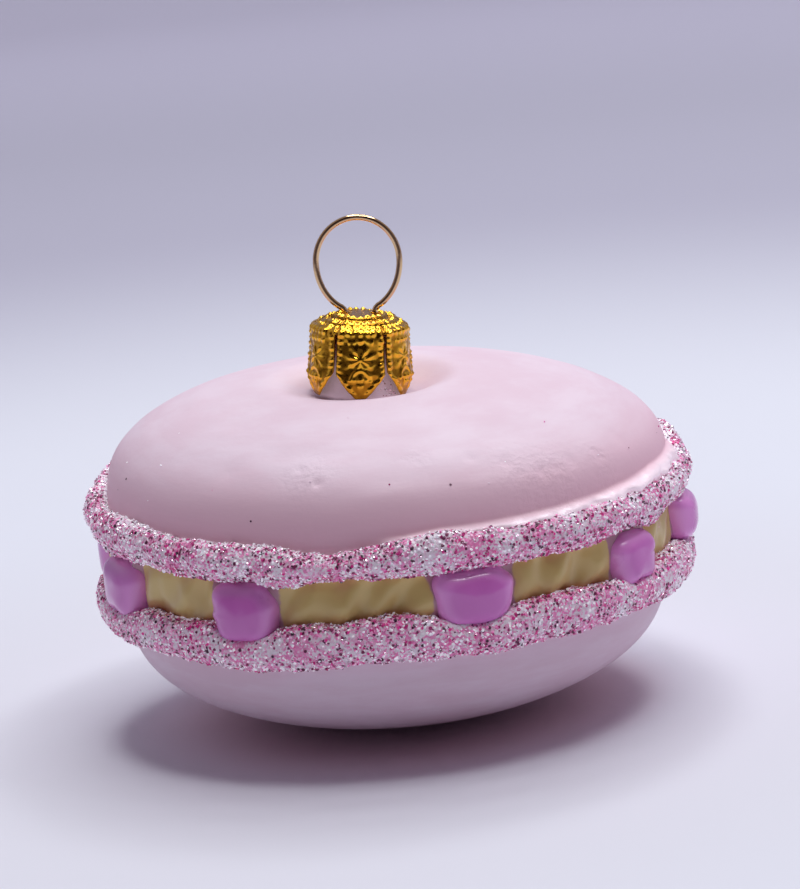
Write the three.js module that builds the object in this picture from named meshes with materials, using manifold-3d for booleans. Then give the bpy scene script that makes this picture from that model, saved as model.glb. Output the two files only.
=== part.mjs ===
// A hanging macaron ornament of blown glass: two smooth shells, two crusty feet coated in
// coarse glitter, a cream filling with a row of rounded lumps, and on top a gold crown cap
// whose wire ring clips into the neck. Millimetres, +Z up, origin at the centre of the small
// flat spot that the ornament rests on. A bearing is an angle about +Z in degrees: 0 faces
// -Y, and 90 faces +X.
import * as THREE from 'three';
import { mergeVertices } from 'three/addons/utils/BufferGeometryUtils.js';
import Module from 'manifold-3d';

const wasm = await Module();
wasm.setup();

const GAP = 0.3;
const SEGMENTS = 72;

// The joints between the layers. Inside, the layers meet on a plane at the height flat. The
// crust's visible edge outside has the mean height lip and the swells [bearing, spread, rise]
// seen from the front, where the upper crust stands higher at both ends than between them. dip
// is how far an edge follows the lumps that press into it.
const EDGE = {
  bowlRim: { flat: 16.2, lip: 15.85, dip: 0, swells: [[-28, 10, -0.65], [-7, 6, 0.35], [45, 16, 0.25]] },
  fillingBase: { flat: 20.0, lip: 20.9, dip: 0.6, swells: [[-1, 7, 0.7], [31, 8, 0.3], [-46, 6, -0.4]] },
  fillingTop: {
    flat: 27.1,
    lip: 26.6,
    dip: 0,
    swells: [[-22, 4, -0.75], [-58, 12, 0.5], [62, 12, 0.45], [60.5, 4, -1.0], [-93, 9, 1.1]],
  },
  domeBase: {
    flat: 30.2,
    lip: 31.15,
    dip: 0,
    swells: [
      [-12, 8.5, -1.2], [9, 6, 0.5], [-64, 12, 0.9], [102, 11, 2.8], [-106, 10, 2.3], [180, 48, 1.6],
    ],
  },
};
const FAR_SWELLS = { count: 5, first: 105, pitch: 36, spread: 14, rise: 0.6, seed: 1000, seedStep: 77 };
const LIP_RADIUS = 37.6;

// Superellipses: radius and height of the quarter, the two powers that shape it, and the angles
// where its rows start and end. The dome's top also slopes a little, by tilt per millimetre.
const BOWL = { radius: 35.6, depth: 16.4, base: 16.0, sidePower: 1.07, heightPower: 0.84, rows: 7 };
const BOWL_START = 0.12;
const DOME = { radius: 37.05, rise: 15.6, base: 30.3, sidePower: 1.093, heightPower: 0.644, rows: 7 };
const DOME_ROWS = { from: 0.1, to: 1.1 };
const DOME_TILT = { x: -0.029, y: 0.037 };

// Foot sections as [radius, share of the layer's height], from the underside to the top.
const LOWER_FOOT = [[37, 0], [38.7, 0], [39.5, 0.3], [39.7, 0.65], [39.1, 0.97], [38.1, 1], [37.5, 1]];
const UPPER_FOOT = [[37.5, 0], [38.1, 0], [39.3, 0.3], [39.7, 0.6], [38.9, 0.96], [38, 1], [37.45, 1]];
const FILLING = [[36.9, 0], [37.25, 0.3], [37.25, 0.7], [36.9, 1]];
const FACE_MARGIN = 0.01;
const CRUST_RELIEF = 0.14;
const CREAM_RELIEF = 0.3;

// Waves round a face: how many go round, how far each slants over the layer, phase and weight.
const CRUST_WAVES = [[13, 4, 0, 1], [19, -6, 1, 0.7], [29, 11, 2, 0.8]];
const CREAM_WAVES = [[24, 3.5, 0, 1]];

// The lumps seen on the front: bearing, width, lowest and highest point, and how far out each
// one reaches. The rest of the row goes on round the back at an even pitch with a little play.
const LUMPS_SEEN = [
  { bearing: -100, width: 9.4, low: 18.9, high: 27.2, front: 40.0 },
  { bearing: -68.8, width: 10.6, low: 18.7, high: 26.2, front: 40.0 },
  { bearing: -30.8, width: 8.9, low: 18.1, high: 26.2, front: 40.0 },
  { bearing: 14.7, width: 10.1, low: 19.1, high: 26.5, front: 40.0 },
  { bearing: 53.5, width: 8.6, low: 19.4, high: 26.1, front: 40.0 },
  { bearing: 85, width: 9.4, low: 20.1, high: 26.6, front: 40.8 },
];
const LUMPS_HIDDEN = 4;
const LUMP_MEAN = { width: 9.5, low: 19.1, high: 26.4, front: 40.0 };
const LUMP_PLAY = { bearing: 2.5, width: 0.6, height: 0.3 };
const LUMP_DEPTH = 6.6;
const LUMP_POWER = 3.2;
const LUMP_TAPER = 0.12;
const LUMP_CELLS = { across: 4, deep: 3 };
const LUMP_SEED = 11;
const LUMP_DIP_SPREAD = 6.5;

// The neck leans out of a dimple in the dome, a little to one side of the axis.
const NECK = { x: -2.6, y: -2, z: 43.4, lean: 5.2, radius: 4.9, top: 8.8, rim: 0.6, root: -3 };
const NECK_SEGMENTS = 32;
const DIMPLE = { radius: 13.5, floorRadius: 6.6, floor: -0.4, rows: [13.2, 11.6, 10, 8.4, 6.6, 4.5] };
const DOME_SHIFT_START = 36;

// The cap's outline in its own frame, [radius, height] from the petals' ends to the crown.
const CAP_WALL = 0.45;
const CAP_OUTLINE = [[6.25, 0], [6.8, 2.5], [6.5, 5.5], [6.4, 8.2], [6.0, 9.0], [5.0, 9.7], [3.4, 10.2]];
const CAP_CROWN = 10.3;
const CAP_SEGMENTS = 42;
const PETALS = 6;
const PETAL = { slit: 0.5, slitTop: 8.5, shoulder: 3.0, tip: 1.0 };
const SLIT_CUT = { near: 4, far: 9, below: 0.5 };
const WIRE_HOLE = { radius: 0.9, height: 4, segments: 16 };

// The ring is an oval of wire whose sides close in to two legs, which pass the cap's holes.
// Its own frame starts at the crown of the cap, where it leans back a little.
const RING = { wire: 0.8, halfWidth: 5.45, rise: 5.8, drop: 6.66, centre: 6.5, lean: -3 };
const RING_LEG = { x: 2.0, bend: 0.35, end: -1.1 };
const RING_FOOT_HEIGHT = 10.6;
const RING_ARC_POINTS = 11;
const RING_STEPS = 44;
const RING_SIDES = 8;

const WELD = 1e-4;

const COLOURS = {
  shell: '#ecd3e2',
  glitter: '#e3b9d4',
  filling: '#b9a67f',
  lump: '#b57fc4',
  gold: '#d9a441',
};

function finish(colour, roughness, metalness) {
  return new THREE.MeshStandardMaterial({ color: colour, roughness, metalness });
}

const radians = THREE.MathUtils.degToRad;

function bearingOf(point) {
  return THREE.MathUtils.radToDeg(Math.atan2(point.x, -point.y));
}

// Signed difference of two bearings, within half a turn.
function turn(from, to) {
  return THREE.MathUtils.euclideanModulo(to - from + 180, 360) - 180;
}

// A small generator of repeatable draws between -1 and 1.
function draws(seed) {
  let state = seed;
  return () => {
    state = (state * 16807) % 2147483647;
    return (2 * state) / 2147483647 - 1;
  };
}

function lumpRow() {
  const draw = draws(LUMP_SEED);
  const last = LUMPS_SEEN.at(-1).bearing;
  const pitch = (360 + LUMPS_SEEN[0].bearing - last) / (LUMPS_HIDDEN + 1);
  const hidden = Array.from({ length: LUMPS_HIDDEN }, (_, i) => ({
    bearing: last + (i + 1) * pitch + LUMP_PLAY.bearing * draw(),
    width: LUMP_MEAN.width + LUMP_PLAY.width * draw(),
    low: LUMP_MEAN.low + LUMP_PLAY.height * draw(),
    high: LUMP_MEAN.high + LUMP_PLAY.height * draw(),
    front: LUMP_MEAN.front,
  }));
  return [...LUMPS_SEEN, ...hidden];
}

const LUMPS = lumpRow();

// The far side of each edge swells too, by draws of its own.
function addFarSwells() {
  const { count, first, pitch, spread, rise, seed, seedStep } = FAR_SWELLS;
  Object.values(EDGE).forEach((edge, k) => {
    const draw = draws(seed + seedStep * k);
    for (let i = 0; i < count; i += 1) edge.swells.push([first + i * pitch, spread, rise * draw()]);
  });
}

addFarSwells();

function swell(bearing, [centre, spread, rise]) {
  return rise * Math.exp(-((turn(centre, bearing) / spread) ** 2));
}

// Height of a joint at a point: the plane inside, and the waving edge from the lip outwards.
function edgeHeight(edge, point) {
  if (Math.hypot(point.x, point.y) < LIP_RADIUS) return edge.flat;
  const bearing = bearingOf(point);
  const wave = edge.swells.reduce((sum, item) => sum + swell(bearing, item), 0);
  const dips = LUMPS.map((lump) => [lump.bearing, LUMP_DIP_SPREAD, edge.dip * (edge.lip - lump.low)]);
  return edge.lip + dips.reduce((sum, item) => sum - swell(bearing, item), wave);
}

// Drops the attributes that split vertices, and the empty triangles at the poles.
function welded(geometry) {
  geometry.deleteAttribute('normal');
  geometry.deleteAttribute('uv');
  const merged = mergeVertices(geometry, WELD);
  const kept = [];
  const index = merged.index.array;
  for (let i = 0; i < index.length; i += 3) {
    const [a, b, c] = [index[i], index[i + 1], index[i + 2]];
    if (a !== b && b !== c && c !== a) kept.push(a, b, c);
  }
  merged.setIndex(kept);
  return merged;
}

// Turns a profile of [radius, height] about Z and moves each vertex by the shape function.
function turned(profile, segments, shape = () => {}) {
  const points = profile.map(([radius, height]) => new THREE.Vector2(radius, height));
  const geometry = new THREE.LatheGeometry(points, segments);
  geometry.rotateX(Math.PI / 2);
  const position = geometry.attributes.position;
  const point = new THREE.Vector3();
  for (let i = 0; i < position.count; i += 1) {
    point.fromBufferAttribute(position, i);
    shape(point);
    position.setXYZ(i, point.x, point.y, point.z);
  }
  return welded(geometry);
}

function toSolid(geometry) {
  return new wasm.Manifold(new wasm.Mesh({
    numProp: 3,
    vertProperties: new Float32Array(geometry.attributes.position.array),
    triVerts: new Uint32Array(geometry.index.array),
  }));
}

function toGeometry(solid) {
  const { vertProperties, triVerts } = solid.getMesh();
  const geometry = new THREE.BufferGeometry();
  geometry.setAttribute('position', new THREE.BufferAttribute(vertProperties, 3));
  geometry.setIndex(new THREE.BufferAttribute(triVerts, 1));
  return geometry;
}

function cut(geometry, cutters) {
  const solid = cutters.reduce((left, cutter) => left.subtract(toSolid(cutter)), toSolid(geometry));
  return toGeometry(solid);
}

function push(point, amount) {
  const radius = Math.hypot(point.x, point.y);
  if (radius > 0) {
    point.x *= 1 + amount / radius;
    point.y *= 1 + amount / radius;
  }
}

// Sum of the waves at a bearing in radians and a share of the layer's height.
function ripple(waves, angle, share) {
  return waves.reduce((sum, [count, slant, phase, weight]) => (
    sum + weight * Math.sin(count * angle + slant * share + phase)
  ), 0);
}

// A layer that runs through the ornament, between two edge surfaces. The section gives its
// outer face, and relief(bearing in radians, share of height) roughens that face.
function layer(section, lower, upper, relief) {
  return turned([[0, 0], ...section, [0, 1]], SEGMENTS, (point) => {
    const share = point.z;
    const onFace = share > FACE_MARGIN && share < 1 - FACE_MARGIN;
    if (onFace) push(point, relief(radians(bearingOf(point)), share));
    const bottom = edgeHeight(lower, point) + GAP / 2;
    const top = edgeHeight(upper, point) - GAP / 2;
    point.z = THREE.MathUtils.lerp(bottom, top, share);
  });
}

function crust(angle, share) {
  return CRUST_RELIEF * ripple(CRUST_WAVES, angle, share);
}

function cream(angle, share) {
  return CREAM_RELIEF * ripple(CREAM_WAVES, angle, share) * Math.sin(Math.PI * share);
}

// A quarter superellipse as [radius, height] from its widest point to its end.
function quarter({ radius, base, sidePower, heightPower, rows }, height, from, to) {
  return Array.from({ length: rows + 1 }, (_, i) => {
    const angle = THREE.MathUtils.lerp(from, to, i / rows);
    return [
      radius * Math.cos(angle) ** sidePower,
      base + height * Math.sin(angle) ** heightPower,
    ];
  });
}

// The bowl's quarter ends at the flat spot, where it would dip below the resting plane.
function bowl() {
  const end = Math.asin((BOWL.base / BOWL.depth) ** (1 / BOWL.heightPower));
  const wall = quarter(BOWL, -BOWL.depth, BOWL_START, end).reverse();
  wall[0][1] = 0;
  const top = EDGE.bowlRim.flat - GAP / 2;
  return turned([[0, 0], ...wall, [BOWL.radius, top], [0, top]], SEGMENTS);
}

function domeHeight(x, y) {
  const cosine = Math.min(1, (Math.hypot(x, y) / DOME.radius) ** (1 / DOME.sidePower));
  const share = Math.sqrt(1 - cosine * cosine) ** DOME.heightPower;
  return DOME.base + share * (DOME.rise + DOME_TILT.x * x + DOME_TILT.y * y);
}

// The dimple's floor lies square to the neck, just under the cap, and rises to the dome.
function dimpledHeight({ x, y }) {
  const distance = Math.hypot(x - NECK.x, y - NECK.y);
  const share = THREE.MathUtils.smoothstep(distance, DIMPLE.floorRadius, DIMPLE.radius);
  const floor = NECK.z + DIMPLE.floor - Math.tan(radians(NECK.lean)) * (x - NECK.x);
  return THREE.MathUtils.lerp(floor, domeHeight(x, y), share);
}

// The dome's rows close in on the neck instead of the axis, so that the dimple is round.
function dome() {
  const wall = quarter(DOME, DOME.rise, DOME_ROWS.from, DOME_ROWS.to);
  const rows = DIMPLE.rows.map((radius) => [radius, domeHeight(radius, 0)]);
  const base = EDGE.domeBase.flat + GAP / 2;
  const rim = [[0, base], [DOME.radius, base]];
  return turned([...rim, ...wall, ...rows, [0, DOME.base + DOME.rise]], SEGMENTS, (point) => {
    if (point.z < wall[0][1]) return;
    const radius = Math.hypot(point.x, point.y);
    const shift = 1 - THREE.MathUtils.smoothstep(radius, DIMPLE.radius, DOME_SHIFT_START);
    point.x += shift * NECK.x;
    point.y += shift * NECK.y;
    point.z = dimpledHeight(point);
  });
}

// Place of the neck and cap: their own frame, leaning out of the dimple.
function neckPlace() {
  const place = new THREE.Group();
  place.position.set(NECK.x, NECK.y, NECK.z);
  place.rotation.y = radians(NECK.lean);
  place.updateMatrix();
  return place;
}

function domeWithNeck() {
  const { radius, rim, root, top } = NECK;
  const post = [[0, root], [radius, root], [radius, top - rim], [radius - rim, top], [0, top]];
  const neck = turned(post, NECK_SEGMENTS).applyMatrix4(neckPlace().matrix);
  return toGeometry(toSolid(dome()).add(toSolid(neck)));
}

// A rounded lump: a box whose vertices are drawn onto a superellipsoid, narrower at its foot.
function lumpGeometry({ bearing, width, low, high, front }, grow = 0) {
  const { across, deep } = LUMP_CELLS;
  const geometry = new THREE.BoxGeometry(2, 2, 2, across, deep, across);
  const half = [width / 2 + grow, LUMP_DEPTH / 2 + grow, (high - low) / 2 + grow];
  const position = geometry.attributes.position;
  const point = new THREE.Vector3();
  for (let i = 0; i < position.count; i += 1) {
    point.fromBufferAttribute(position, i);
    const powers = point.toArray().map((value) => Math.abs(value) ** LUMP_POWER);
    point.divideScalar(powers.reduce((sum, value) => sum + value) ** (1 / LUMP_POWER));
    point.x *= half[0] * (1 + LUMP_TAPER * point.z);
    point.y *= half[1];
    point.z *= half[2];
    position.setXYZ(i, point.x, point.y, point.z);
  }
  geometry.translate(0, LUMP_DEPTH / 2 - front, (low + high) / 2);
  geometry.rotateZ(radians(bearing));
  return welded(geometry);
}

// One cutter between two petals: a narrow slit that opens into a notch between two tips.
function slitCutter(bearing) {
  const pitch = (2 * CAP_OUTLINE[0][0] * Math.PI) / PETALS;
  const reach = (pitch - PETAL.tip) / 2;
  const slit = PETAL.slit / 2;
  const outline = new THREE.Shape([
    new THREE.Vector2(-slit, PETAL.slitTop),
    new THREE.Vector2(-slit, PETAL.shoulder),
    new THREE.Vector2(-reach, -SLIT_CUT.below),
    new THREE.Vector2(reach, -SLIT_CUT.below),
    new THREE.Vector2(slit, PETAL.shoulder),
    new THREE.Vector2(slit, PETAL.slitTop),
  ]);
  const depth = SLIT_CUT.far - SLIT_CUT.near;
  const geometry = new THREE.ExtrudeGeometry(outline, { depth, bevelEnabled: false });
  geometry.translate(0, 0, SLIT_CUT.near);
  geometry.rotateX(Math.PI / 2);
  geometry.rotateZ(radians(bearing));
  return welded(geometry);
}

function wireHoleCutter(side) {
  const { radius, height, segments } = WIRE_HOLE;
  const geometry = new THREE.CylinderGeometry(radius, radius, height, segments);
  geometry.rotateX(Math.PI / 2);
  geometry.translate(side * RING_LEG.x, 0, CAP_OUTLINE.at(-1)[1]);
  return welded(geometry);
}

// The cap is a thin cup: the outline outside, and the same outline a wall's thickness inside.
function cap() {
  const outside = [...CAP_OUTLINE, [0, CAP_CROWN]];
  const inside = outside.map(([radius, height], i) => [
    Math.max(0, radius - CAP_WALL),
    i === 0 ? height : height - CAP_WALL,
  ]).reverse();
  const cup = turned([...outside, ...inside, outside[0]], CAP_SEGMENTS);
  const cutters = Array.from({ length: PETALS }, (_, i) => slitCutter((360 / PETALS) * (i + 0.5)));
  return cut(cup, [...cutters, wireHoleCutter(-1), wireHoleCutter(1)]);
}

// Half of the ring's centre line, from the top to the foot on one side, and its straight leg.
function ringSide(side) {
  const end = Math.PI - Math.asin((RING_LEG.x + RING_LEG.bend) / RING.halfWidth);
  const arc = Array.from({ length: RING_ARC_POINTS }, (_, i) => {
    const angle = (end * (i + 0.5)) / (RING_ARC_POINTS - 0.5);
    const height = angle < Math.PI / 2 ? RING.rise : RING.drop;
    return new THREE.Vector3(
      side * RING.halfWidth * Math.sin(angle),
      0,
      RING.centre + height * Math.cos(angle),
    );
  });
  const leg = [0, RING_LEG.end].map((z) => new THREE.Vector3(side * RING_LEG.x, 0, z));
  return [...arc, ...leg];
}

function ring() {
  const points = [...ringSide(-1).reverse(), ...ringSide(1)];
  const section = new THREE.Shape(Array.from({ length: RING_SIDES }, (_, i) => {
    const angle = (2 * Math.PI * i) / RING_SIDES;
    return new THREE.Vector2(Math.cos(angle), Math.sin(angle)).multiplyScalar(RING.wire / 2);
  }));
  return welded(new THREE.ExtrudeGeometry(section, {
    steps: RING_STEPS,
    extrudePath: new THREE.CatmullRomCurve3(points, false, 'centripetal'),
  }));
}

function part(name, geometry, material) {
  const mesh = new THREE.Mesh(geometry, material);
  mesh.name = name;
  return mesh;
}

const glossyPaint = () => finish(COLOURS.shell, 0.35, 0);
const coarseGlitter = () => finish(COLOURS.glitter, 0.6, 0.1);
const creamPaint = () => finish(COLOURS.filling, 0.5, 0);
const lumpPaint = () => finish(COLOURS.lump, 0.3, 0);
const polishedGold = () => finish(COLOURS.gold, 0.25, 1);

const lumpRecesses = LUMPS.map((lump) => lumpGeometry(lump, GAP));
const lowerFoot = layer(LOWER_FOOT, EDGE.bowlRim, EDGE.fillingBase, crust);
const filling = layer(FILLING, EDGE.fillingBase, EDGE.fillingTop, cream);
const upperFoot = layer(UPPER_FOOT, EDGE.fillingTop, EDGE.domeBase, crust);

const ornament = new THREE.Group();
ornament.add(part('shell_bottom', bowl(), glossyPaint()));
ornament.add(part('foot_bottom', cut(lowerFoot, lumpRecesses), coarseGlitter()));
ornament.add(part('filling', cut(filling, lumpRecesses), creamPaint()));
ornament.add(part('foot_top', cut(upperFoot, lumpRecesses), coarseGlitter()));
ornament.add(part('shell_top', domeWithNeck(), glossyPaint()));
LUMPS.forEach((lump, i) => {
  const name = `lump_${String(i + 1).padStart(2, '0')}`;
  ornament.add(part(name, lumpGeometry(lump), lumpPaint()));
});

const crown = neckPlace();
crown.add(part('cap', cap(), polishedGold()));
const hanger = part('hanger_ring', ring(), polishedGold());
hanger.position.z = RING_FOOT_HEIGHT;
hanger.rotation.y = radians(RING.lean);
crown.add(hanger);
ornament.add(crown);

export default ornament;
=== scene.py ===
"""A hanging macaron ornament of painted glass: the looks of every surface.

Run as a script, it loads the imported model, makes each visible piece over its solid, gives it
its finish, and sets up the stage. Lengths are millimetres, and become metres in the meshes. A
bearing is an angle about +Z in degrees: 0 faces -Y, and 90 faces +X.
"""

import math

import bpy
import numpy as np
from bpy.props import FloatProperty, FloatVectorProperty, IntProperty, PointerProperty
from mathutils import Matrix, Vector


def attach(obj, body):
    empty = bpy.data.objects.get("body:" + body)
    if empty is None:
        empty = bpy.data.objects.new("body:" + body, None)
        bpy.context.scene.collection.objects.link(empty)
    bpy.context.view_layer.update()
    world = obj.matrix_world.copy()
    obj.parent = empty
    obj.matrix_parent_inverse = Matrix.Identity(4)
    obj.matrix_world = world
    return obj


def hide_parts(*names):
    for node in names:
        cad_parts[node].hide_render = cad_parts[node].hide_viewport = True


bl_info = {
    "name": "Glass macaron ornament",
    "version": (1, 0, 0),
    "blender": (4, 5, 0),
    "location": "View3D > Sidebar > Macaron",
    "description": "Painted shells, glitter crusts, cream, lumps and a gold crown cap",
    "category": "Object",
}

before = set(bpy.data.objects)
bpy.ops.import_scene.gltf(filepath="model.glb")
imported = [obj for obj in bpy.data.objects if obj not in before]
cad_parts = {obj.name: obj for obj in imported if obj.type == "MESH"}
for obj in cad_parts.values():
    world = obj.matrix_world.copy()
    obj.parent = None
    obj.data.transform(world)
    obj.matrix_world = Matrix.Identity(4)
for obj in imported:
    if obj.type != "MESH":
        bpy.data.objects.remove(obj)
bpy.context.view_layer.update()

METRE = 1000.0

# Points of a smooth curve between two given ones, and rows of a lattice of random numbers.
CURVE_STEPS = 24
LATTICE_ROWS = 64

# Joints between the layers, as in the solids: the mean height of the visible edge, how far it
# follows the lumps, and its swells (bearing, spread, rise).
EDGES = {
    "bowl_rim": (15.85, 0.0, [(-28, 10, -0.65), (-7, 6, 0.35), (45, 16, 0.25)]),
    "filling_base": (20.9, 0.6, [(-1, 7, 0.7), (31, 8, 0.3), (-46, 6, -0.4)]),
    "filling_top": (26.6, 0.0, [
        (-22, 4, -0.75), (-58, 12, 0.5), (62, 12, 0.45), (60.5, 4, -1.0), (-93, 9, 1.1),
    ]),
    "dome_base": (31.15, 0.0, [
        (-12, 8.5, -1.2), (9, 6, 0.5), (-64, 12, 0.9), (102, 11, 2.8), (-106, 10, 2.3), (180, 48, 1.6),
    ]),
}
FAR_SWELL_COUNT = 5
FAR_SWELL_FIRST = 105
FAR_SWELL_PITCH = 36
FAR_SWELL_SPREAD = 14
FAR_SWELL_RISE = 0.6
FAR_SWELL_SEED = 1000
FAR_SWELL_SEED_STEP = 77

# Quarter superellipses of the two shells.
BOWL_RADIUS = 35.6
BOWL_DEPTH = 16.4
BOWL_BASE = 16.0
BOWL_TOP = 16.05
BOWL_SIDE_POWER = 1.07
BOWL_HEIGHT_POWER = 0.84
BOWL_GRID = (360, 90)
DOME_RADIUS = 37.05
DOME_RISE = 15.6
DOME_BASE = 30.3
DOME_FLOOR = 29.4
DOME_SIDE_POWER = 1.093
DOME_HEIGHT_POWER = 0.644
DOME_TILT = (-0.029, 0.037)
DOME_GRID = (520, 170)
SHELL_LIP = 2.0

# Glossy ledge of bare glass beside the dome, as (bearing, height where it meets the dome).
LEDGE = [
    (1, 31.5), (9, 32.0), (17, 31.9), (25, 32.0), (35, 32.1), (45, 32.3), (56, 32.6), (65, 33.0),
]
LEDGE_REACH = 1.25
LEDGE_CRINKLE = 0.55
LEDGE_FROM = (-4, 3)
LEDGE_TO = (78, 98)
LEDGE_BLEND = (-0.7, 0.1)
# How much the ledge is bare glass: glossier and creased, and whiter with a painted highlight and painted
# light from an emission.
LEDGE_BARE_AND_HIGHLIGHT = 0.85

# Heights between which the dome's paint changes from the pinker, darker tone of its foot, a painted pink
# shade.
FOOT_PAINTED_SHADE = (33, 41)

# Sections of the crusts and the filling as (radius, share of the layer's height).
LOWER_SECTION = [
    (36.4, 0), (37.6, 0), (38.7, 0.02), (39.5, 0.3), (39.7, 0.65), (39.1, 0.94), (38.1, 1), (36.6, 1),
]
UPPER_SECTION = [
    (36.6, 0), (37.6, 0), (38.3, 0.02), (39.3, 0.3), (39.7, 0.6), (38.9, 0.93), (38, 1), (36.6, 1),
]
FILLING_SECTION = [(36.5, -0.12), (36.9, 0), (37.25, 0.3), (37.25, 0.7), (36.9, 1), (36.5, 1.12)]
BAND_CORE = 34.0
FILLING_GRID = (1080, 44)

# Bulges of the upper crust's face near its ends, as (bearing, spread, rise), and the place up
# it where its top edge begins: paler there, partly an edge of the glue and partly a painted
# highlight; the pink, magenta and plum flakes stay below it.
UPPER_BULGES = [(-92, 6, 0.9), (89, 7, 0.4)]
CREST_FROM = 0.84

# Lumps on the front as (bearing, width, lowest point, highest point, reach, outline swells).
LUMPS_SEEN = [
    (-100, 9.4, 18.9, 27.2, 40.0, []),
    (-68.8, 10.6, 18.7, 26.2, 40.0, [(235, 22, 0.05), (300, 20, 0.06), (45, 16, -0.04)]),
    (-30.8, 8.9, 18.1, 26.2, 40.0, [(42, 18, -0.13), (235, 18, 0.03), (312, 18, -0.05), (182, 8, 0.08)]),
    (14.7, 10.1, 19.1, 26.5, 40.0, [(44, 14, -0.1), (320, 18, -0.06), (72, 16, 0.04)]),
    (53.5, 8.6, 19.4, 26.1, 40.0, [
        (45, 18, -0.08), (135, 18, -0.06), (230, 20, 0.1), (308, 20, 0.08), (8, 9, -0.1),
    ]),
    (85, 9.4, 20.1, 26.6, 40.8, [(45, 16, -0.12), (225, 16, -0.06)]),
]
LUMPS_HIDDEN = 4
LUMP_SEED = 11
LUMP_MEAN = (9.5, 19.1, 26.4, 40.0)
LUMP_PLAY = (2.5, 0.6, 0.3, 0.3)
LUMP_DEPTH = 6.6
LUMP_POWER = 4.2
LUMP_DEPTH_POWER = 2.3
LUMP_TAPER = 0.12
LUMP_DIP_SPREAD = 6.5
LUMP_GRID = (96, 72)

# Neck and dimple.
NECK = np.array([-2.6, -2.0, 43.4])
NECK_LEAN = 5.2
NECK_RADIUS = 4.9
NECK_TOP = 8.8
NECK_RIM = 0.6
NECK_FOOT = [(5.95, 0.1), (5.75, 0.5), (5.5, 1.2), (5.2, 2.2), (4.97, 3.4)]
# How much the neck's foot is bare glass: glossier, and whiter with painted light from an emission, against
# the cap's shade.
NECK_BARE_AND_GLOW = 0.45
# How much of the foot's painted pink shade the neck takes.
NECK_PINK_SHADE = 0.6
DIMPLE_RADIUS = 13.5
DIMPLE_FLOOR_RADIUS = 6.6
DIMPLE_FLOOR = -0.4
DIMPLE_POWER = 0.8
DOME_SHIFT_START = 36.0

# Small dents in the dome's front, as (x, y, radius, depth), scuffed patches of its paint as
# (x, y, radius), and single flakes stuck on it.
DENTS = [
    (10.5, -30.3, 0.8, 0.14), (14.8, -30.1, 0.7, 0.2), (16.4, -31.2, 0.6, 0.14), (19.3, -29.5, 0.7, 0.22),
    (21.3, -28.2, 0.55, 0.16), (23.1, -26.4, 0.7, 0.18), (26.8, -23.1, 0.8, 0.2), (-8.8, -32.8, 0.55, 0.26),
    (-10.8, -30.2, 0.6, 0.14), (3.5, -31.0, 1.3, 0.14), (-20.0, -26.5, 1.4, 0.14), (29.5, -17.5, 1.2, 0.14),
]
SCUFFS = [(16.5, -30.2, 4.0), (21.5, -28.5, 3.0), (26.8, -23.1, 2.2), (-9.8, -31.0, 3.2), (4.0, -30.5, 2.0)]
DOME_STRAYS = {
    "white": [(-28.6, -17.9), (-30.6, -20.0), (-26.2, -12.3), (14.8, -30.1), (-9.6, -32.4), (26.8, -23.1)],
    "plum": [(-17.4, -32.4), (7.7, -34.3), (35.4, -7.7), (-33.5, -13.0), (31.0, -18.0)],
    "pink": [(-4.3, -19.9), (-22.0, -27.5), (20.5, -20.0)],
}

# Crown cap, in the frame of the neck.
CAP_OUTLINE = [
    (6.5, 0), (6.8, 1.2), (6.88, 2.5), (6.7, 4.0), (6.52, 5.5), (6.44, 7.2), (6.4, 8.2), (6.15, 8.85),
    (5.6, 9.15), (5.15, 9.3), (4.95, 9.62), (4.3, 9.75), (3.75, 9.8), (3.5, 10.15), (2.8, 10.25),
    (0.01, 10.3),
]
CAP_WALL = 0.3
PETALS = 6
PETAL_SLIT = 0.46
PETAL_SLIT_TOP = 8.4
PETAL_SHOULDER = 3.2
PETAL_TIP = 1.3
BEAD_PITCH = 0.75
BEAD_RADIUS = 0.3
CAP_ROWS = 130

# Stamping on a petal and on the crown: how far the beads at a petal's borders lie inside them,
# and off its middle at the tip, rows of beads across it as (height, reach), the star and the
# arch, the half width of a stamped line, and rings of beads on the crown as (radius, height).
BORDER_INSET = 0.42
BORDER_TIP = 0.25
PETAL_ROWS = [(7.5, 1.7), (2.6, 1.1), (1.9, 0.5)]
STAR_HEIGHT = 5.2
STAR_RADIUS = 1.55
STAR_CORE = 0.28
STAMP_LINE = 0.22
ARCH_HEIGHT = 2.2
ARCH_RADIUS = 1.3
CROWN_RINGS = [(6.25, 8.55), (5.4, 9.22), (4.3, 9.76), (2.9, 10.25)]

# Hanger ring, in the frame of the cap's crown.
RING_HALF_WIDTH = 5.45
RING_RISE = 5.8
RING_DROP = 6.66
RING_CENTRE = 6.5
RING_LEAN = -3.0
RING_FOOT = 10.6
RING_LEG = 2.0
RING_LEG_BEND = 0.35
RING_LEG_END = -1.1
RING_GRID = (28, 360)

# Scales of the patterns in the materials, in cells to a metre.
PAINT_DRIFT, PAINT_STROKES, PAINT_PEEL, PAINT_CREASES = 55, 110, 700, 950
GLITTER_CELLS, GLITTER_PATCHES, GLITTER_SKIN, FLAKE_SPECKS = 3600, 240, 2300, 3000
CREAM_DRIFT, CREAM_SPECKS, CREAM_SKIN = 160, 170, 500
ENAMEL_DRIFT = 240
GOLD_WEAR, WIRE_GRAIN, PAPER_FIBRE = 1100, 2400, 900

# Camera, from a fit of the object's edges.
CAMERA_PLACE = (0.0, -535.4, 149.1)
CAMERA_TARGET = (2.04, 0.0, 35.2)
CAMERA_ROLL = -5.01
CAMERA_SENSOR = 36
CAMERA_CLIP = (0.05, 10)

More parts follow.
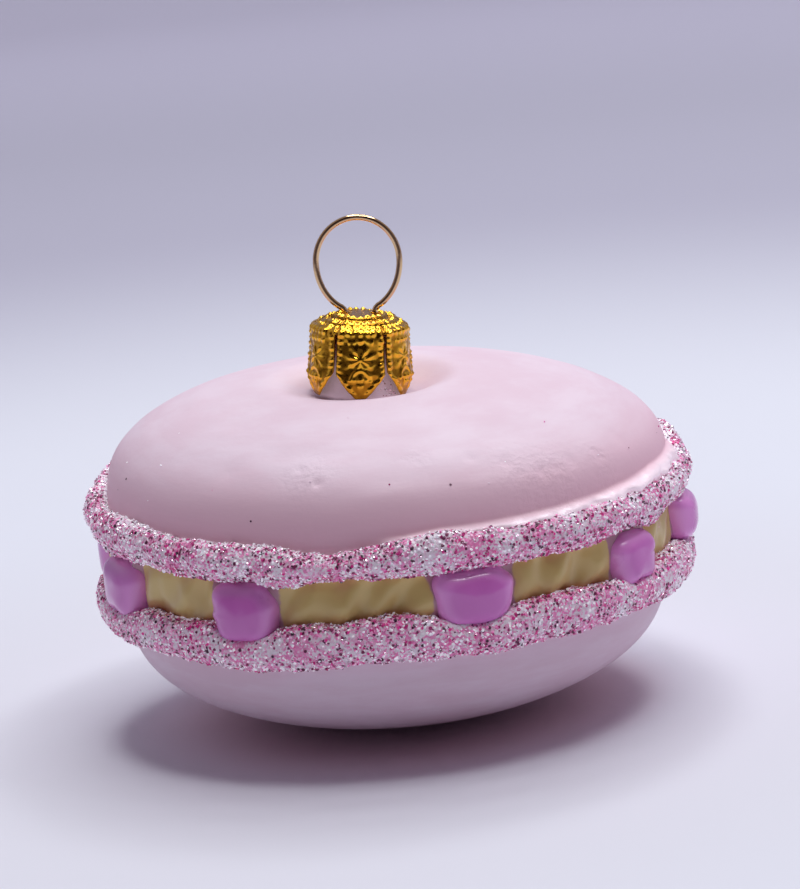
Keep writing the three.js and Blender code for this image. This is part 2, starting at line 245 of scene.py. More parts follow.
# A long ring of lights: its middle, its reach to the sides and to the front and back, and the
# width of each light.
LIGHTS = 12
LIGHT_CENTRE = (200, 250, 1000)
LIGHT_REACH = (320, 530)
LIGHT_SIZE = 210
LIGHT_TARGET = (0, 0, 20)
LIGHT_TONE = (0.95, 0.98, 1.0)

# The floor: the radii of its rings, the height that its rim curves up to, and where one tone
# gives way to the next, in metres from the ornament, or in metres before it.
STAGE_RINGS = [20, 120, 300, 600, 900, 1080, 1180, 1250, 1290, 1300]
STAGE_COLUMNS = 128
STAGE_RIM = 500.0
RIM_FROM, RIM_TO = 1000, 1420
# Where the floor's painted light changes: bounce light under the ornament, shade near it, falloff far off,
# and a painted shadow before the camera.
UNDER_TO_NEAR = (0.022, 0.038)
NEAR_TO_BRIGHT = (0.06, 0.14)
BRIGHT_TO_FAR = (0.17, 0.43)
FAR_TO_END = (0.55, 0.85)
FRONT_SHADE = (-0.14, -0.4)


# Numbers and curves

def smoothstep(value, start, end):
    share = np.clip((value - start) / (end - start), 0, 1)
    return share * share * (3 - 2 * share)


def bearing_gap(bearing, centre):
    """Signed difference of two bearings, within half a turn."""
    return (bearing - centre + 180) % 360 - 180


def swell(bearing, centre, spread, rise):
    """A bell of that rise: rise times e to minus the square of the gap over the spread."""
    return rise * np.exp(-((bearing_gap(bearing, centre) / spread) ** 2))


def draws(seed, count):
    """Repeatable numbers between -1 and 1, from the generator that the solids use."""
    state, out = seed, []
    for _ in range(count):
        state = state * 16807 % 2147483647
        out.append(2 * state / 2147483647 - 1)
    return out


def curve_through(points, count):
    """Points at even steps of length along a smooth curve through the given ones: cubic
    pieces whose slope at each point is that of the chord between its neighbours."""
    points = np.array(points, float)
    ends = np.vstack([2 * points[0] - points[1], points, 2 * points[-1] - points[-2]])
    t = np.linspace(0, 1, CURVE_STEPS, endpoint=False)[:, None]
    pieces = []
    for a, b, c, d in zip(ends, ends[1:], ends[2:], ends[3:]):
        square, cube = 2 * a - 5 * b + 4 * c - d, 3 * b - a - 3 * c + d
        pieces.append(0.5 * (2 * b + (c - a) * t + square * t**2 + cube * t**3))
    fine = np.vstack([*pieces, points[-1:]])
    length = np.concatenate([[0], np.cumsum(np.linalg.norm(np.diff(fine, axis=0), axis=1))])
    even = np.linspace(0, length[-1], count)
    return np.stack([np.interp(even, length, column) for column in fine.T], axis=-1)


def noise(turns, across, cells, seed):
    """Smooth noise between -1 and 1: random heights on a lattice that closes after that many
    cells round the ornament, blended between its points. across counts cells."""
    table = np.random.default_rng(seed).uniform(-1, 1, (LATTICE_ROWS, cells))
    u, v = np.broadcast_arrays((turns % 1) * cells, across)
    column, row = np.floor(u).astype(int), np.floor(v).astype(int)
    du, dv = smoothstep(u - column, 0, 1), smoothstep(v - row, 0, 1)
    low, high = (
        table[k % LATTICE_ROWS, column % cells] * (1 - du)
        + table[k % LATTICE_ROWS, (column + 1) % cells] * du
        for k in (row, row + 1)
    )
    return low * (1 - dv) + high * dv


def grains(turns, across, cells, seed):
    """Packed grains, 1 at a grain's middle and 0 between grains: one minus the squared
    distance to the nearest point of a jittered lattice, never below 0."""
    jitter = np.random.default_rng(seed).random((2, LATTICE_ROWS, cells))
    u, v = np.broadcast_arrays((turns % 1) * cells, across)
    column, row = np.floor(u).astype(int), np.floor(v).astype(int)
    nearest = np.full(u.shape, 9.0)
    for i in (-1, 0, 1):
        for j in (-1, 0, 1):
            cell = ((row + i) % LATTICE_ROWS, (column + j) % cells)
            gap_u = column + j + jitter[0][cell] - u
            gap_v = row + i + jitter[1][cell] - v
            nearest = np.minimum(nearest, gap_u**2 + gap_v**2)
    return np.clip(1 - 1.6 * nearest, 0, 1)


# The ornament's own forms

def lump_row():
    """All lumps, the seen ones and the hidden ones at an even pitch with a little play."""
    first, last = LUMPS_SEEN[0][0], LUMPS_SEEN[-1][0]
    pitch = (360 + first - last) / (LUMPS_HIDDEN + 1)
    play = np.array(draws(LUMP_SEED, 4 * LUMPS_HIDDEN)).reshape(-1, 4) * LUMP_PLAY
    hidden = [
        (last + (i + 1) * pitch + p[0], *(np.array(LUMP_MEAN) + [*p[1:], 0]), [(45 + 90 * i, 16, -0.1)])
        for i, p in enumerate(play)
    ]
    return LUMPS_SEEN + hidden


LUMPS = lump_row()


def far_swells(order):
    """Swells of an edge on the far side, by its order among the edges."""
    rises = draws(FAR_SWELL_SEED + FAR_SWELL_SEED_STEP * order, FAR_SWELL_COUNT)
    return [
        (FAR_SWELL_FIRST + FAR_SWELL_PITCH * i, FAR_SWELL_SPREAD, FAR_SWELL_RISE * rise)
        for i, rise in enumerate(rises)
    ]


def edge_height(name, bearing):
    """Height of a visible edge: its mean, its swells, and a dip below each lump."""
    lip, dip, swells = EDGES[name]
    height = np.full(np.shape(bearing), lip, float)
    for centre, spread, rise in swells + far_swells(list(EDGES).index(name)):
        height += swell(bearing, centre, spread, rise)
    for lump in LUMPS:
        height -= swell(bearing, lump[0], LUMP_DIP_SPREAD, dip * (lip - lump[2]))
    return height


def round_z(radius, bearing, height):
    """Points at a radius, bearing and height."""
    angle = np.radians(bearing)
    return np.stack(np.broadcast_arrays(radius * np.sin(angle), -radius * np.cos(angle), height), axis=-1)


def dome_height(x, y):
    """Height of the dome: a quarter superellipse over the radius, whose top slopes a little."""
    cosine = np.clip(np.hypot(x, y) / DOME_RADIUS, 0, 1) ** (1 / DOME_SIDE_POWER)
    share = np.sqrt(1 - cosine**2) ** DOME_HEIGHT_POWER
    return DOME_BASE + share * (DOME_RISE + DOME_TILT[0] * x + DOME_TILT[1] * y)


def dimpled_height(x, y):
    """Height of the dome where the dimple sinks to a floor that lies square to the neck."""
    distance = np.hypot(x - NECK[0], y - NECK[1])
    share = smoothstep(distance, DIMPLE_FLOOR_RADIUS, DIMPLE_RADIUS) ** DIMPLE_POWER
    floor = NECK[2] + DIMPLE_FLOOR - math.tan(math.radians(NECK_LEAN)) * (x - NECK[0])
    return floor + (dome_height(x, y) - floor) * share


def neck_place(points, lean=0.0, height=0.0):
    """Points of the neck's own frame, or of one that leans in it at a height, in place."""
    upper = np.array(Matrix.Rotation(math.radians(lean), 3, "Y"))
    whole = np.array(Matrix.Rotation(math.radians(NECK_LEAN), 3, "Y"))
    return (points @ upper.T + [0, 0, height]) @ whole.T + NECK


def ledge_share(bearing, height):
    """How much a place is ledge: 1 at the crust, and 0 where the ledge meets the dome."""
    there = smoothstep(bearing, *LEDGE_FROM) * (1 - smoothstep(bearing, *LEDGE_TO))
    top = np.interp(bearing, *zip(*LEDGE))
    return there * (1 - smoothstep(height, top + LEDGE_BLEND[0], top + LEDGE_BLEND[1]))


def ledge_flare(bearing, height):
    """How far the ledge stands out from the dome's foot, with its crinkles."""
    turns = bearing / 360
    crinkle = noise(turns, height * 1.3, 110, 33) + 0.6 * noise(turns, height * 2.2 + 4, 230, 34)
    return (LEDGE_REACH + LEDGE_CRINKLE * crinkle) * ledge_share(bearing, height)


# Surfaces and meshes

def normals(surface, u, v):
    """Unit normals of surface(u, v): the cross product of its two slopes."""
    step_u, step_v = 0.02, 0.002
    along_u = surface(u + step_u, v) - surface(u - step_u, v)
    along_v = surface(u, v + step_v) - surface(u, v - step_v)
    cross = np.cross(along_u, along_v)
    return cross / np.maximum(np.linalg.norm(cross, axis=-1, keepdims=True), 1e-12)


def raised(surface, relief):
    """The surface moved outwards along its own normal by relief(u, v)."""

    def moved(u, v):
        return surface(u, v) + normals(surface, u, v) * relief(u, v)[..., None]

    return moved


def quads(rows, columns, rows_close):
    """Faces of a grid whose columns close round, and whose rows do too if rows_close."""
    row = np.arange(rows if rows_close else rows - 1)[:, None]
    column = np.arange(columns)[None, :]
    above, beside = (row + 1) % rows, (column + 1) % columns
    here, up = row * columns, above * columns
    return np.stack([here + column, here + beside, up + beside, up + column], axis=-1).reshape(-1, 4)


def fan(centre, ring):
    """Triangles from a centre point to a closed ring of points."""
    return np.stack([np.full(len(ring), centre), ring, np.roll(ring, -1)], axis=-1)


def make_piece(name, points, faces, attributes=None, smooth=True):
    """A mesh object at the origin, from points in millimetres and arrays of faces."""
    mesh = bpy.data.meshes.new(name)
    corners = np.concatenate([f.ravel() for f in faces])
    sizes = np.concatenate([np.full(len(f), f.shape[1]) for f in faces])
    mesh.vertices.add(len(points))
    mesh.vertices.foreach_set("co", (points / METRE).astype(np.float32).ravel())
    mesh.loops.add(len(corners))
    mesh.loops.foreach_set("vertex_index", corners.astype(np.int32))
    mesh.polygons.add(len(sizes))
    mesh.polygons.foreach_set("loop_start", np.concatenate([[0], np.cumsum(sizes)[:-1]]).astype(np.int32))
    mesh.polygons.foreach_set("use_smooth", np.full(len(sizes), smooth))
    for key, values in (attributes or {}).items():
        layer = mesh.attributes.new(key, "FLOAT", "POINT")
        layer.data.foreach_set("value", values.astype(np.float32).ravel())
    mesh.update(calc_edges=True)
    if mesh.validate():
        raise RuntimeError(f"{name}: its mesh had faces that Blender could not take")
    piece = bpy.data.objects.new(name, mesh)
    bpy.context.scene.collection.objects.link(piece)
    return piece


def closed_piece(name, grid, attributes=None):
    """A closed piece from rows of points, each row a closed ring: the first and last rows
    close in fans on their middles."""
    rows, columns = grid.shape[:2]
    points = np.vstack([grid.reshape(-1, 3), grid[0].mean(0), grid[-1].mean(0)])
    first = np.arange(columns)[::-1]
    last = np.arange(columns) + (rows - 1) * columns
    faces = [quads(rows, columns, False), fan(rows * columns, first), fan(rows * columns + 1, last)]
    spread = {
        key: np.concatenate([values.ravel(), [values[0].mean(), values[-1].mean()]])
        for key, values in (attributes or {}).items()
    }
    return make_piece(name, points, faces, spread)


def band_piece(name, grid, attributes=None):
    """A closed ring round the ornament, from rows that close on each other too."""
    rows, columns = grid.shape[:2]
    return make_piece(name, grid.reshape(-1, 3), [quads(rows, columns, True)], attributes)


def bearings(columns):
    """Even bearings of that many columns all round, as a row without its end."""
    return np.linspace(-180, 180, columns, endpoint=False)


def settle(piece, node, material):
    """Gives a piece its finish, and puts it on the ornament in the place of its solid."""
    piece.data.materials.append(material)
    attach(piece, "root")
    if node:
        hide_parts(node)


# Making materials

class Value:
    """A number that varies over a surface. An expression on it adds its Math nodes."""

    def __init__(self, finish, socket):
        self.finish, self.socket = finish, socket

    def math(self, operation, *operands, **settings):
        inputs = dict(enumerate(operands))
        return self.finish.node("ShaderNodeMath", {"operation": operation, **settings}, inputs)

    def __add__(self, other):
        return self.math("ADD", self, other)

    def __mul__(self, other):
        return self.math("MULTIPLY", self, other)

    def __sub__(self, other):
        return self.math("SUBTRACT", self, other)

    def __rsub__(self, other):
        return self.math("SUBTRACT", other, self)

    def __lt__(self, other):
        return self.math("LESS_THAN", self, other)

    __radd__ = __add__
    __rmul__ = __mul__

    def clamped(self):
        return self.math("ADD", self, 0.0, use_clamp=True)


class Finish:
    """A material, or the room's light, being made. node() adds any node, and gives its first
    output or a named one."""

    def __init__(self, owner):
        self.owner = bpy.data.materials.new(owner) if isinstance(owner, str) else owner
        self.owner.use_nodes = True
        self.tree = self.owner.node_tree
        self.tree.nodes.clear()

    def node(self, kind, settings=None, inputs=None, output=0):
        node = self.tree.nodes.new(kind)
        for key, value in (settings or {}).items():
            if key == "stops":
                set_stops(node.color_ramp, value)
            else:
                setattr(node, key, value)
        for key, value in (inputs or {}).items():
            if isinstance(value, Value):
                self.tree.links.new(value.socket, node.inputs[key])
            else:
                node.inputs[key].default_value = value
        return Value(self, node.outputs[output]) if node.outputs else None

    def place(self):
        return self.node("ShaderNodeTexCoord", output="Object")

    def attribute(self, name):
        return self.node("ShaderNodeAttribute", {"attribute_name": name}, output="Fac")

    def noise(self, place, scale, detail=2.0, roughness=0.5):
        inputs = {"Vector": place, "Scale": scale, "Detail": detail, "Roughness": roughness}
        return self.node("ShaderNodeTexNoise", None, inputs)

    def cells(self, place, scale, output="Distance", **settings):
        return self.node("ShaderNodeTexVoronoi", settings, {"Vector": place, "Scale": scale}, output)

    def step(self, value, start, end):
        """0 below start, 1 above end, and smooth between."""
        inputs = {"Value": value, "From Min": start, "From Max": end}
        return self.node("ShaderNodeMapRange", {"interpolation_type": "SMOOTHSTEP"}, inputs)

    def scaled(self, place, factors):
        return self.node("ShaderNodeVectorMath", {"operation": "MULTIPLY"}, {0: place, 1: factors})

    def ramp(self, value, stops):
        """A colour by a value, from (place, colour) stops."""
        return self.node("ShaderNodeValToRGB", {"stops": stops}, {0: value})

    def mix(self, share, first, second):
        """A colour between two others."""
        inputs = {0: share, 6: rgba(first), 7: rgba(second)}
        return self.node("ShaderNodeMix", {"data_type": "RGBA"}, inputs, 2)

    def bump(self, height, distance, strength=1.0):
        inputs = {"Height": height, "Distance": distance, "Strength": strength}
        return self.node("ShaderNodeBump", None, inputs)

    def surface(self, **inputs):
        """The shader itself, from its sockets' names with underscores for spaces."""
        named = {key.replace("_", " "): value for key, value in inputs.items()}
        for key in ("Base Color", "Emission Color"):
            if key in named:
                named[key] = rgba(named[key])
        shader = self.node("ShaderNodeBsdfPrincipled", None, named)
        self.node("ShaderNodeOutputMaterial", None, {"Surface": shader})
        return self.owner


def set_stops(ramp, stops):
    """Gives a colour ramp its stops, the first two in the place of its own."""
    for index, (place, tone) in enumerate(stops):
        stop = ramp.elements[index] if index < 2 else ramp.elements.new(place)
        stop.position, stop.color = place, rgba(tone)


def rgba(colour):
    """A colour socket as it is, and a colour's three numbers with full opacity."""
    return colour if isinstance(colour, Value) else (*colour[:3], 1.0)


def linear(red, green, blue):
    """A colour from its three screen values of 0 to 255."""
    share = np.array([red, green, blue]) / 255
    bent = np.where(share > 0.04045, ((share + 0.055) / 1.055) ** 2.4, share / 12.92)
    return tuple(float(x) for x in bent)


def colour(label, text, red, green, blue):
    return FloatVectorProperty(
        name=label, description=text, subtype="COLOR", size=3, min=0, max=1, default=linear(red, green, blue)
    )


def length(label, text, millimetres):
    return FloatProperty(
        name=label, description=text, unit="LENGTH", subtype="DISTANCE", min=0, default=millimetres / METRE
    )


def tally(label, text, count):
    return IntProperty(name=label, description=text, min=0, max=16000, default=count)


# Settings that a user may change

class ShellSettings(bpy.types.PropertyGroup):
    light: colour("Paint", "Pearly paint of the shells", 239, 217, 231)
    shade: colour("Paint, thin", "The paint where it lies thin", 233, 205, 220)
    # The foot's pinker, darker paint is a painted pink shade, on the dome's foot and on the neck.
    foot: colour("Paint, gathered", "The paint where it gathers at the dome's foot", 243, 198, 213)
    # Bare glass is whiter than the paint: a painted highlight on the ledge and painted light on the neck,
    # which the cap shades; it also colours their emission of painted light.
    bare: colour("Bare glass", "The neck and the ledge beside the dome", 252, 232, 244)
    wander: length("Unevenness", "How far the blown glass wanders from a true form", 0.12)
    # Strength of the painted light that the bare glass gives off, an emission though it is no lamp.
    painted_glow: FloatProperty(name="Glow", description="Light through the bare glass", default=0.26, min=0)


class CrustSettings(bpy.types.PropertyGroup):
    base: colour("Base", "Glue and fine glitter between the flakes", 252, 230, 244)
    pink: colour("Blotches", "Pink blotches in the base", 248, 140, 198)
    grain: length("Grain height", "How far grains stand out", 0.11)
    clump: length("Clump height", "How far clumps of grains stand out", 0.17)
    ragged: length("Edge play", "How ragged the crusts' edges are", 0.14)


class GlitterSettings(bpy.types.PropertyGroup):
    size: length("Flake size", "Across a flake's corners", 0.34)
    white: tally("White flakes", "How many on both crusts", 12000)
    pink: tally("Pink flakes", "How many on both crusts", 7600)
    magenta: tally("Magenta flakes", "How many on both crusts", 3500)
    plum: tally("Plum flakes", "How many on both crusts", 2500)
    spark: tally("Sparks", "How many mirror flakes on both crusts", 7000)
    seed: IntProperty(name="Seed", description="Which way the flakes fall", default=5)


class CreamSettings(bpy.types.PropertyGroup):
    light: colour("Cream", "Painted filling", 222, 196, 122)
    shade: colour("Cream, low", "The filling towards its lower edge", 172, 84, 30)
    rim: colour("Bare rim", "Glass that shows between cream and crust", 190, 140, 156)
    fold: length("Fold height", "How far the folds stand out", 0.62)


class LumpSettings(bpy.types.PropertyGroup):
    # The darker middle is a painted shade in the hollow, and the lighter rim a painted highlight on the edges
    # and sides.
    middle: colour("Middle", "Enamel in the hollow of a lump", 212, 110, 198)
    rim: colour("Rim", "Enamel on a lump's edges", 246, 162, 236)
    hollow: length("Hollow", "Depth of the hollow in a lump's face", 0.25)


class CapSettings(bpy.types.PropertyGroup):
    gold: colour("Gold", "Stamped cap", 250, 188, 56)
    # Painted shade that darkens the recesses of the stamping to brown.
    painted_recess_shade: colour("Gold, deep", "Lacquer that lies in the recesses", 150, 98, 22)
    bead: length("Bead height", "How far the stamped beads stand out", 0.26)


class RingSettings(bpy.types.PropertyGroup):
    gold: colour("Wire", "Polished wire", 222, 188, 146)
    wire: length("Wire thickness", "Diameter of the wire", 0.8)


class StageSettings(bpy.types.PropertyGroup):
    # The floor's tones are painted light: a pink sheen of bounce light under the ornament, a little shade
    # round it, the light's falloff far off, and lighter again up the rim.
    under: colour("Floor, under", "Floor below the ornament, with its pink sheen", 234, 210, 219)
    near: colour("Floor, near", "Floor round the ornament", 224, 223, 233)
    bright: colour("Floor, bright", "Floor behind the ornament", 228, 229, 240)
    far: colour("Floor, far", "Floor in the distance", 185, 182, 200)
    end: colour("Floor, end", "Floor at the back, where it curves up", 204, 200, 221)
    front: colour("Floor, front", "Floor before the camera, in the shade", 112, 104, 116)
    world: FloatProperty(name="Room light", description="Strength of the even light", default=0.405, min=0)
    top: FloatProperty(name="Overhead light", description="Watts of the ring of lights", default=11.0, min=0)
    lens: FloatProperty(name="Lens", description="Focal length", unit="CAMERA", default=167.8, min=1)


# Finishes

def shell_finish(look):
    """Matt pearly paint over glass: slow drifts of tone and brush strokes that run round the
    ornament, with a faint orange peel and fine creases where it is scuffed. It is pinker and
    darker at the dome's foot and on the neck, a painted pink shade. Bare glass on the neck and
    the ledge is creased and glossier, and whiter with a painted highlight, and an emission
    there adds painted light, though it is no lamp."""
    finish = Finish("painted_glass")
    place = finish.place()
    bare = finish.attribute("bare")
    drift = finish.noise(place, PAINT_DRIFT, 3)
    strokes = finish.noise(finish.scaled(place, (1, 1, 5)), PAINT_STROKES, 4, 0.6)
    peel = finish.noise(place, PAINT_PEEL, 3)
    creases = finish.noise(place, PAINT_CREASES, 3, 0.6) * (bare + finish.attribute("scuffed"))
    tone = finish.mix(finish.step(drift * 0.45 + strokes * 0.55, 0.36, 0.64), look.light, look.shade)
    # Painted pink shade at the dome's foot and on the neck.
    painted_pink_shade = finish.mix(finish.attribute("foot"), tone, look.foot)
    return finish.surface(
        # Whiter bare glass: a painted highlight on the ledge, painted light on the neck.
        Base_Color=finish.mix(bare, painted_pink_shade, look.bare),
        Roughness=(strokes * 0.16 + 0.52) * (1 - bare * 0.6),
        Specular_IOR_Level=0.4,
        Coat_Weight=bare * 0.7 + 0.04,
        Coat_Roughness=0.2,
        # Painted light: the bare glass shines by an emission, though it is no lamp.
        Emission_Color=finish.mix(bare, (0, 0, 0), look.bare),
        Emission_Strength=look.painted_glow,
        Normal=finish.bump(peel * 0.35 + strokes * 0.65 + creases * 2.2, 0.00014, 0.6),
    )


def crust_finish(look):
    """Glue full of fine glitter: small cells from pale lilac to white, pink in patches, with a
    few plum ones, under a fine rough skin. The upper crust's top edge is nearly white, with fewer
    pink patches: partly a paler edge of the glue and partly a painted highlight. It is a little
    glossier there."""
    finish = Finish("glitter_crust")
    place = finish.place()
    fine = finish.cells(place, GLITTER_CELLS, "Color")
    hue = finish.node("ShaderNodeSeparateColor", None, {"Color": fine}, "Red")
    tone = finish.node("ShaderNodeSeparateColor", None, {"Color": fine}, "Green")
    patch = finish.noise(place, GLITTER_PATCHES, 3)
    # The top edge: paler partly by its glue and partly by a painted highlight.
    crest_and_highlight = finish.attribute("crest_and_highlight")
    pale = finish.mix(tone * 0.7 + crest_and_highlight * 0.3, look.base, (0.93, 0.91, 0.95))
    spotted = finish.mix(finish.step(hue * 0.5 + patch - crest_and_highlight * 0.5, 0.68, 0.95), pale, look.pink)
    return finish.surface(
        Base_Color=finish.mix(hue < 0.04, spotted, (0.16, 0.02, 0.1)),
        Roughness=tone * 0.3 + 0.25 - crest_and_highlight * 0.1,
        Coat_Weight=0.35,
        Coat_Roughness=0.2,
        Normal=finish.bump(finish.cells(place, GLITTER_SKIN) * -1.0, 0.00018, 0.7),
    )


def flake_finish(name, first, second, metallic, roughness, painted_glow):
    """A glitter flake's skin, whose tone runs from the first colour to the second by flake. Its
    emission, in the same tones, is painted light that brightens it as if lit from all round."""
    finish = Finish(name)
    tint = finish.attribute("tint")
    speck = finish.noise(finish.place(), FLAKE_SPECKS, 2)
    return finish.surface(
        Base_Color=finish.mix(tint, first, second),
        Metallic=metallic,
        Roughness=speck * 0.15 + roughness,
        Coat_Weight=0.25,
        Coat_Roughness=0.1,
        # Painted light: the flake shines in its own tones, though it is no lamp.
        Emission_Color=finish.mix(tint, first, second),
        Emission_Strength=painted_glow,
    )


def cream_finish(look):
    """Brushed cream paint, browner low down, up to a wandering edge past which the glass is
    bare, with a few small specks."""
    finish = Finish("cream_paint")
    place = finish.place()
    drift = finish.noise(place, CREAM_DRIFT, 4, 0.6)
    painted = finish.attribute("painted") + (drift - 0.5) * 0.8
    low = finish.step(finish.attribute("share") + drift * 0.4, 0.58, 0.3)
    paint = finish.mix(low, look.light, look.shade)
    coat = finish.mix(finish.step(painted, 0.22, 0.1), paint, look.rim)
    specks = finish.cells(place, CREAM_SPECKS) < 0.045
    return finish.surface(
        Base_Color=finish.mix(specks * 0.85, coat, (0.1, 0.03, 0.04)),
        Roughness=drift * 0.2 + 0.3,
        Coat_Weight=0.35,
        Coat_Roughness=0.22,
        Normal=finish.bump(finish.noise(place, CREAM_SKIN, 3), 0.00008, 0.5),
    )


def lump_finish(look):
    """Glossy enamel, darker in the hollow of a lump's face, a painted shade, and lighter over its
    edges and sides, a painted highlight.
    """
    finish = Finish("lump_paint")
    place = finish.place()
    rim = finish.attribute("rim")
    drift = finish.noise(place, ENAMEL_DRIFT, 3)
    return finish.surface(
        # Painted shade in the hollow, and painted highlight on the edges and sides.
        Base_Color=finish.mix((rim + drift * 0.3 - 0.15).clamped(), look.middle, look.rim),
        Roughness=drift * 0.15 + 0.22,
        Coat_Weight=0.6,
        Coat_Roughness=0.12,
        Normal=finish.bump(drift, 0.00012, 0.6),
    )


def stamped_gold_finish(look):
    """Stamped brass, bright on what stands proud, with a painted shade that darkens the recesses
    to brown.
    """
    finish = Finish("stamped_gold")
    place = finish.place()
    height = finish.attribute("height")
    wear = finish.noise(place, GOLD_WEAR, 3)
    # Painted shade in the recesses of the stamping.
    low = finish.step(height + wear * 0.3, 0.4, 0.02)
    return finish.surface(
        Base_Color=finish.mix(low, look.gold, look.painted_recess_shade),
        Metallic=1.0,
        Roughness=low * 0.14 + wear * 0.12 + 0.08,
        Normal=finish.bump(wear, 0.00008, 0.6),
    )


def wire_finish(look):
    """Drawn and plated wire with a faint drawing grain."""
    finish = Finish("polished_wire")
    grain = finish.noise(finish.place(), WIRE_GRAIN, 2)
    return finish.surface(
        Base_Color=finish.mix(grain * 0.3, look.gold, (0.5, 0.28, 0.12)),
        Metallic=1.0,
        Roughness=grain * 0.06 + 0.03,
        Normal=finish.bump(grain, 0.00002, 0.3),
    )


def floor_finish(look):
    """Matt paper whose tone changes with the distance from the ornament, all painted light: a pink
    sheen of bounce light just under it, a little shade round it, the light's falloff further
    off, and lighter again towards the back, up the rim. It is darker well in front of it, a
    painted shadow."""
    finish = Finish("floor_paper")
    place = finish.place()
    distance = finish.node("ShaderNodeVectorMath", {"operation": "LENGTH"}, {0: place}, "Value")
    # Painted pink bounce light under the ornament, and painted shade round it.
    under = finish.mix(finish.step(distance, *UNDER_TO_NEAR), look.under, look.near)
    inner = finish.mix(finish.step(distance, *NEAR_TO_BRIGHT), under, look.bright)
    # Painted falloff of the light far off, lighter again towards the back and up the rim.
    outer = finish.mix(finish.step(distance, *BRIGHT_TO_FAR), inner, look.far)
    tone = finish.mix(finish.step(distance, *FAR_TO_END), outer, look.end)
    depth = finish.node("ShaderNodeSeparateXYZ", None, {0: place}, "Y")
    shaded = finish.mix(finish.step(depth, *FRONT_SHADE), tone, look.front)
    fibre = finish.noise(place, PAPER_FIBRE, 3)
    return finish.surface(Base_Color=shaded, Roughness=fibre * 0.1 + 0.6, Specular_IOR_Level=0.2)


# The shells

def dome_surface(bearing, place, wander):
    """Rows from the dome's rim (place 0) to the foot of the neck (place 1): each is a circle
    whose centre moves towards the neck as it gets smaller, at the dimpled dome's height."""
    angle = (1 - place) * math.pi / 2
    inner = NECK_FOOT[0][0]
    radius = inner + (DOME_RADIUS - inner) * np.sin(angle) ** DOME_SIDE_POWER
    shift = 1 - smoothstep(radius, DIMPLE_RADIUS, DOME_SHIFT_START)
    flat = round_z(radius, bearing, 0)
    x, y = flat[..., 0] + shift * NECK[0], flat[..., 1] + shift * NECK[1]
    height = dimpled_height(x, y)
    edge = smoothstep(place, 0, 0.08)
    flare = 1 + ledge_flare(bearing, height) / DOME_RADIUS
    turns = bearing / 360
    drift = wander * (noise(turns, place * 4 + 7, 9, 3) + 0.5 * noise(turns, place * 11 + 3, 29, 4))
    for dent_x, dent_y, spread, depth in DENTS:
        drift = drift - depth * np.exp(-((x - dent_x) ** 2 + (y - dent_y) ** 2) / spread**2)
    fade = edge * (1 - smoothstep(place, 0.6, 0.75))
    return np.stack([x * flare, y * flare, height + drift * fade], axis=-1)


def upper_shell():
    """The dome from its rim to the dimple, then the neck: rings of the neck's radius that
    climb along its own leaning axis and turn in over its mouth."""
    look = bpy.context.scene.macaron_shell
    columns, rows = DOME_GRID
    bearing = bearings(columns)
    place = np.linspace(0, 1, rows)[:, None]
    dome = dome_surface(bearing[None, :], place, look.wander * METRE)
    rim = round_z(np.array([[DOME_RADIUS - SHELL_LIP], [DOME_RADIUS]]), bearing[None, :], DOME_FLOOR)
    flare = 1 + ledge_flare(bearing, DOME_FLOOR) / DOME_RADIUS
    rim[1, :, :2] *= flare[:, None]
    climb = np.array([
        *NECK_FOOT, (NECK_RADIUS, 6), (NECK_RADIUS, NECK_TOP - NECK_RIM),
        (NECK_RADIUS - 0.18, NECK_TOP - 0.18), (NECK_RADIUS - NECK_RIM, NECK_TOP),
    ])
    neck = neck_place(round_z(climb[:, :1], bearing[None, :], climb[:, 1:]))
    grid = np.concatenate([rim, dome[1:], neck])
    # Bare glass: glossier and creased, and lit with a painted highlight and an emission of painted light.
    bare = ledge_share(bearing[None, :], grid[..., 2]) * LEDGE_BARE_AND_HIGHLIGHT
    bare[-len(neck):-len(neck) + len(NECK_FOOT)] = NECK_BARE_AND_GLOW
    scuffed = sum(np.exp(-((grid[..., 0] - x) ** 2 + (grid[..., 1] - y) ** 2) / r**2) for x, y, r in SCUFFS)
    # Where the paint takes the foot's painted pink shade: low on the dome, and on the neck.
    foot = 1 - smoothstep(grid[..., 2], *FOOT_PAINTED_SHADE)
    foot[-len(neck):] = NECK_PINK_SHADE
    attributes = {"bare": bare, "foot": foot, "scuffed": np.minimum(scuffed, 1)}
    piece = closed_piece("upper_shell", grid, attributes)
    settle(piece, "shell_top", shell_finish(look))


def lower_shell():
    """The bowl: a quarter superellipse turned about Z, from the flat spot it rests on."""
    look = bpy.context.scene.macaron_shell
    columns, rows = BOWL_GRID
    bearing = bearings(columns)[None, :]
    end = math.asin((BOWL_BASE / BOWL_DEPTH) ** (1 / BOWL_HEIGHT_POWER))
    angle = np.linspace(end, 0, rows)[:, None]
    radius = BOWL_RADIUS * np.cos(angle) ** BOWL_SIDE_POWER
    height = BOWL_BASE - BOWL_DEPTH * np.sin(angle) ** BOWL_HEIGHT_POWER
    drift = look.wander * METRE * noise(bearing / 360, angle * 3 + 5, 8, 6) * np.sin(angle)
    wall = round_z(radius + drift, bearing, np.maximum(height, 0))
    top = round_z(np.array([[BOWL_RADIUS], [BOWL_RADIUS - SHELL_LIP]]), bearing, BOWL_TOP)
    piece = closed_piece("lower_shell", np.concatenate([wall, top]))
    settle(piece, "shell_bottom", shell_finish(look))


# The crusts and the filling

# Each crust's solid, section, lower and upper edge, seed of its grains, and bulges.
CRUST_GRID = (1240, 58)
CRUSTS = {
    "lower_crust": ("foot_bottom", LOWER_SECTION, "bowl_rim", "filling_base", 21, []),
    "upper_crust": ("foot_top", UPPER_SECTION, "filling_top", "dome_base", 31, UPPER_BULGES),
}


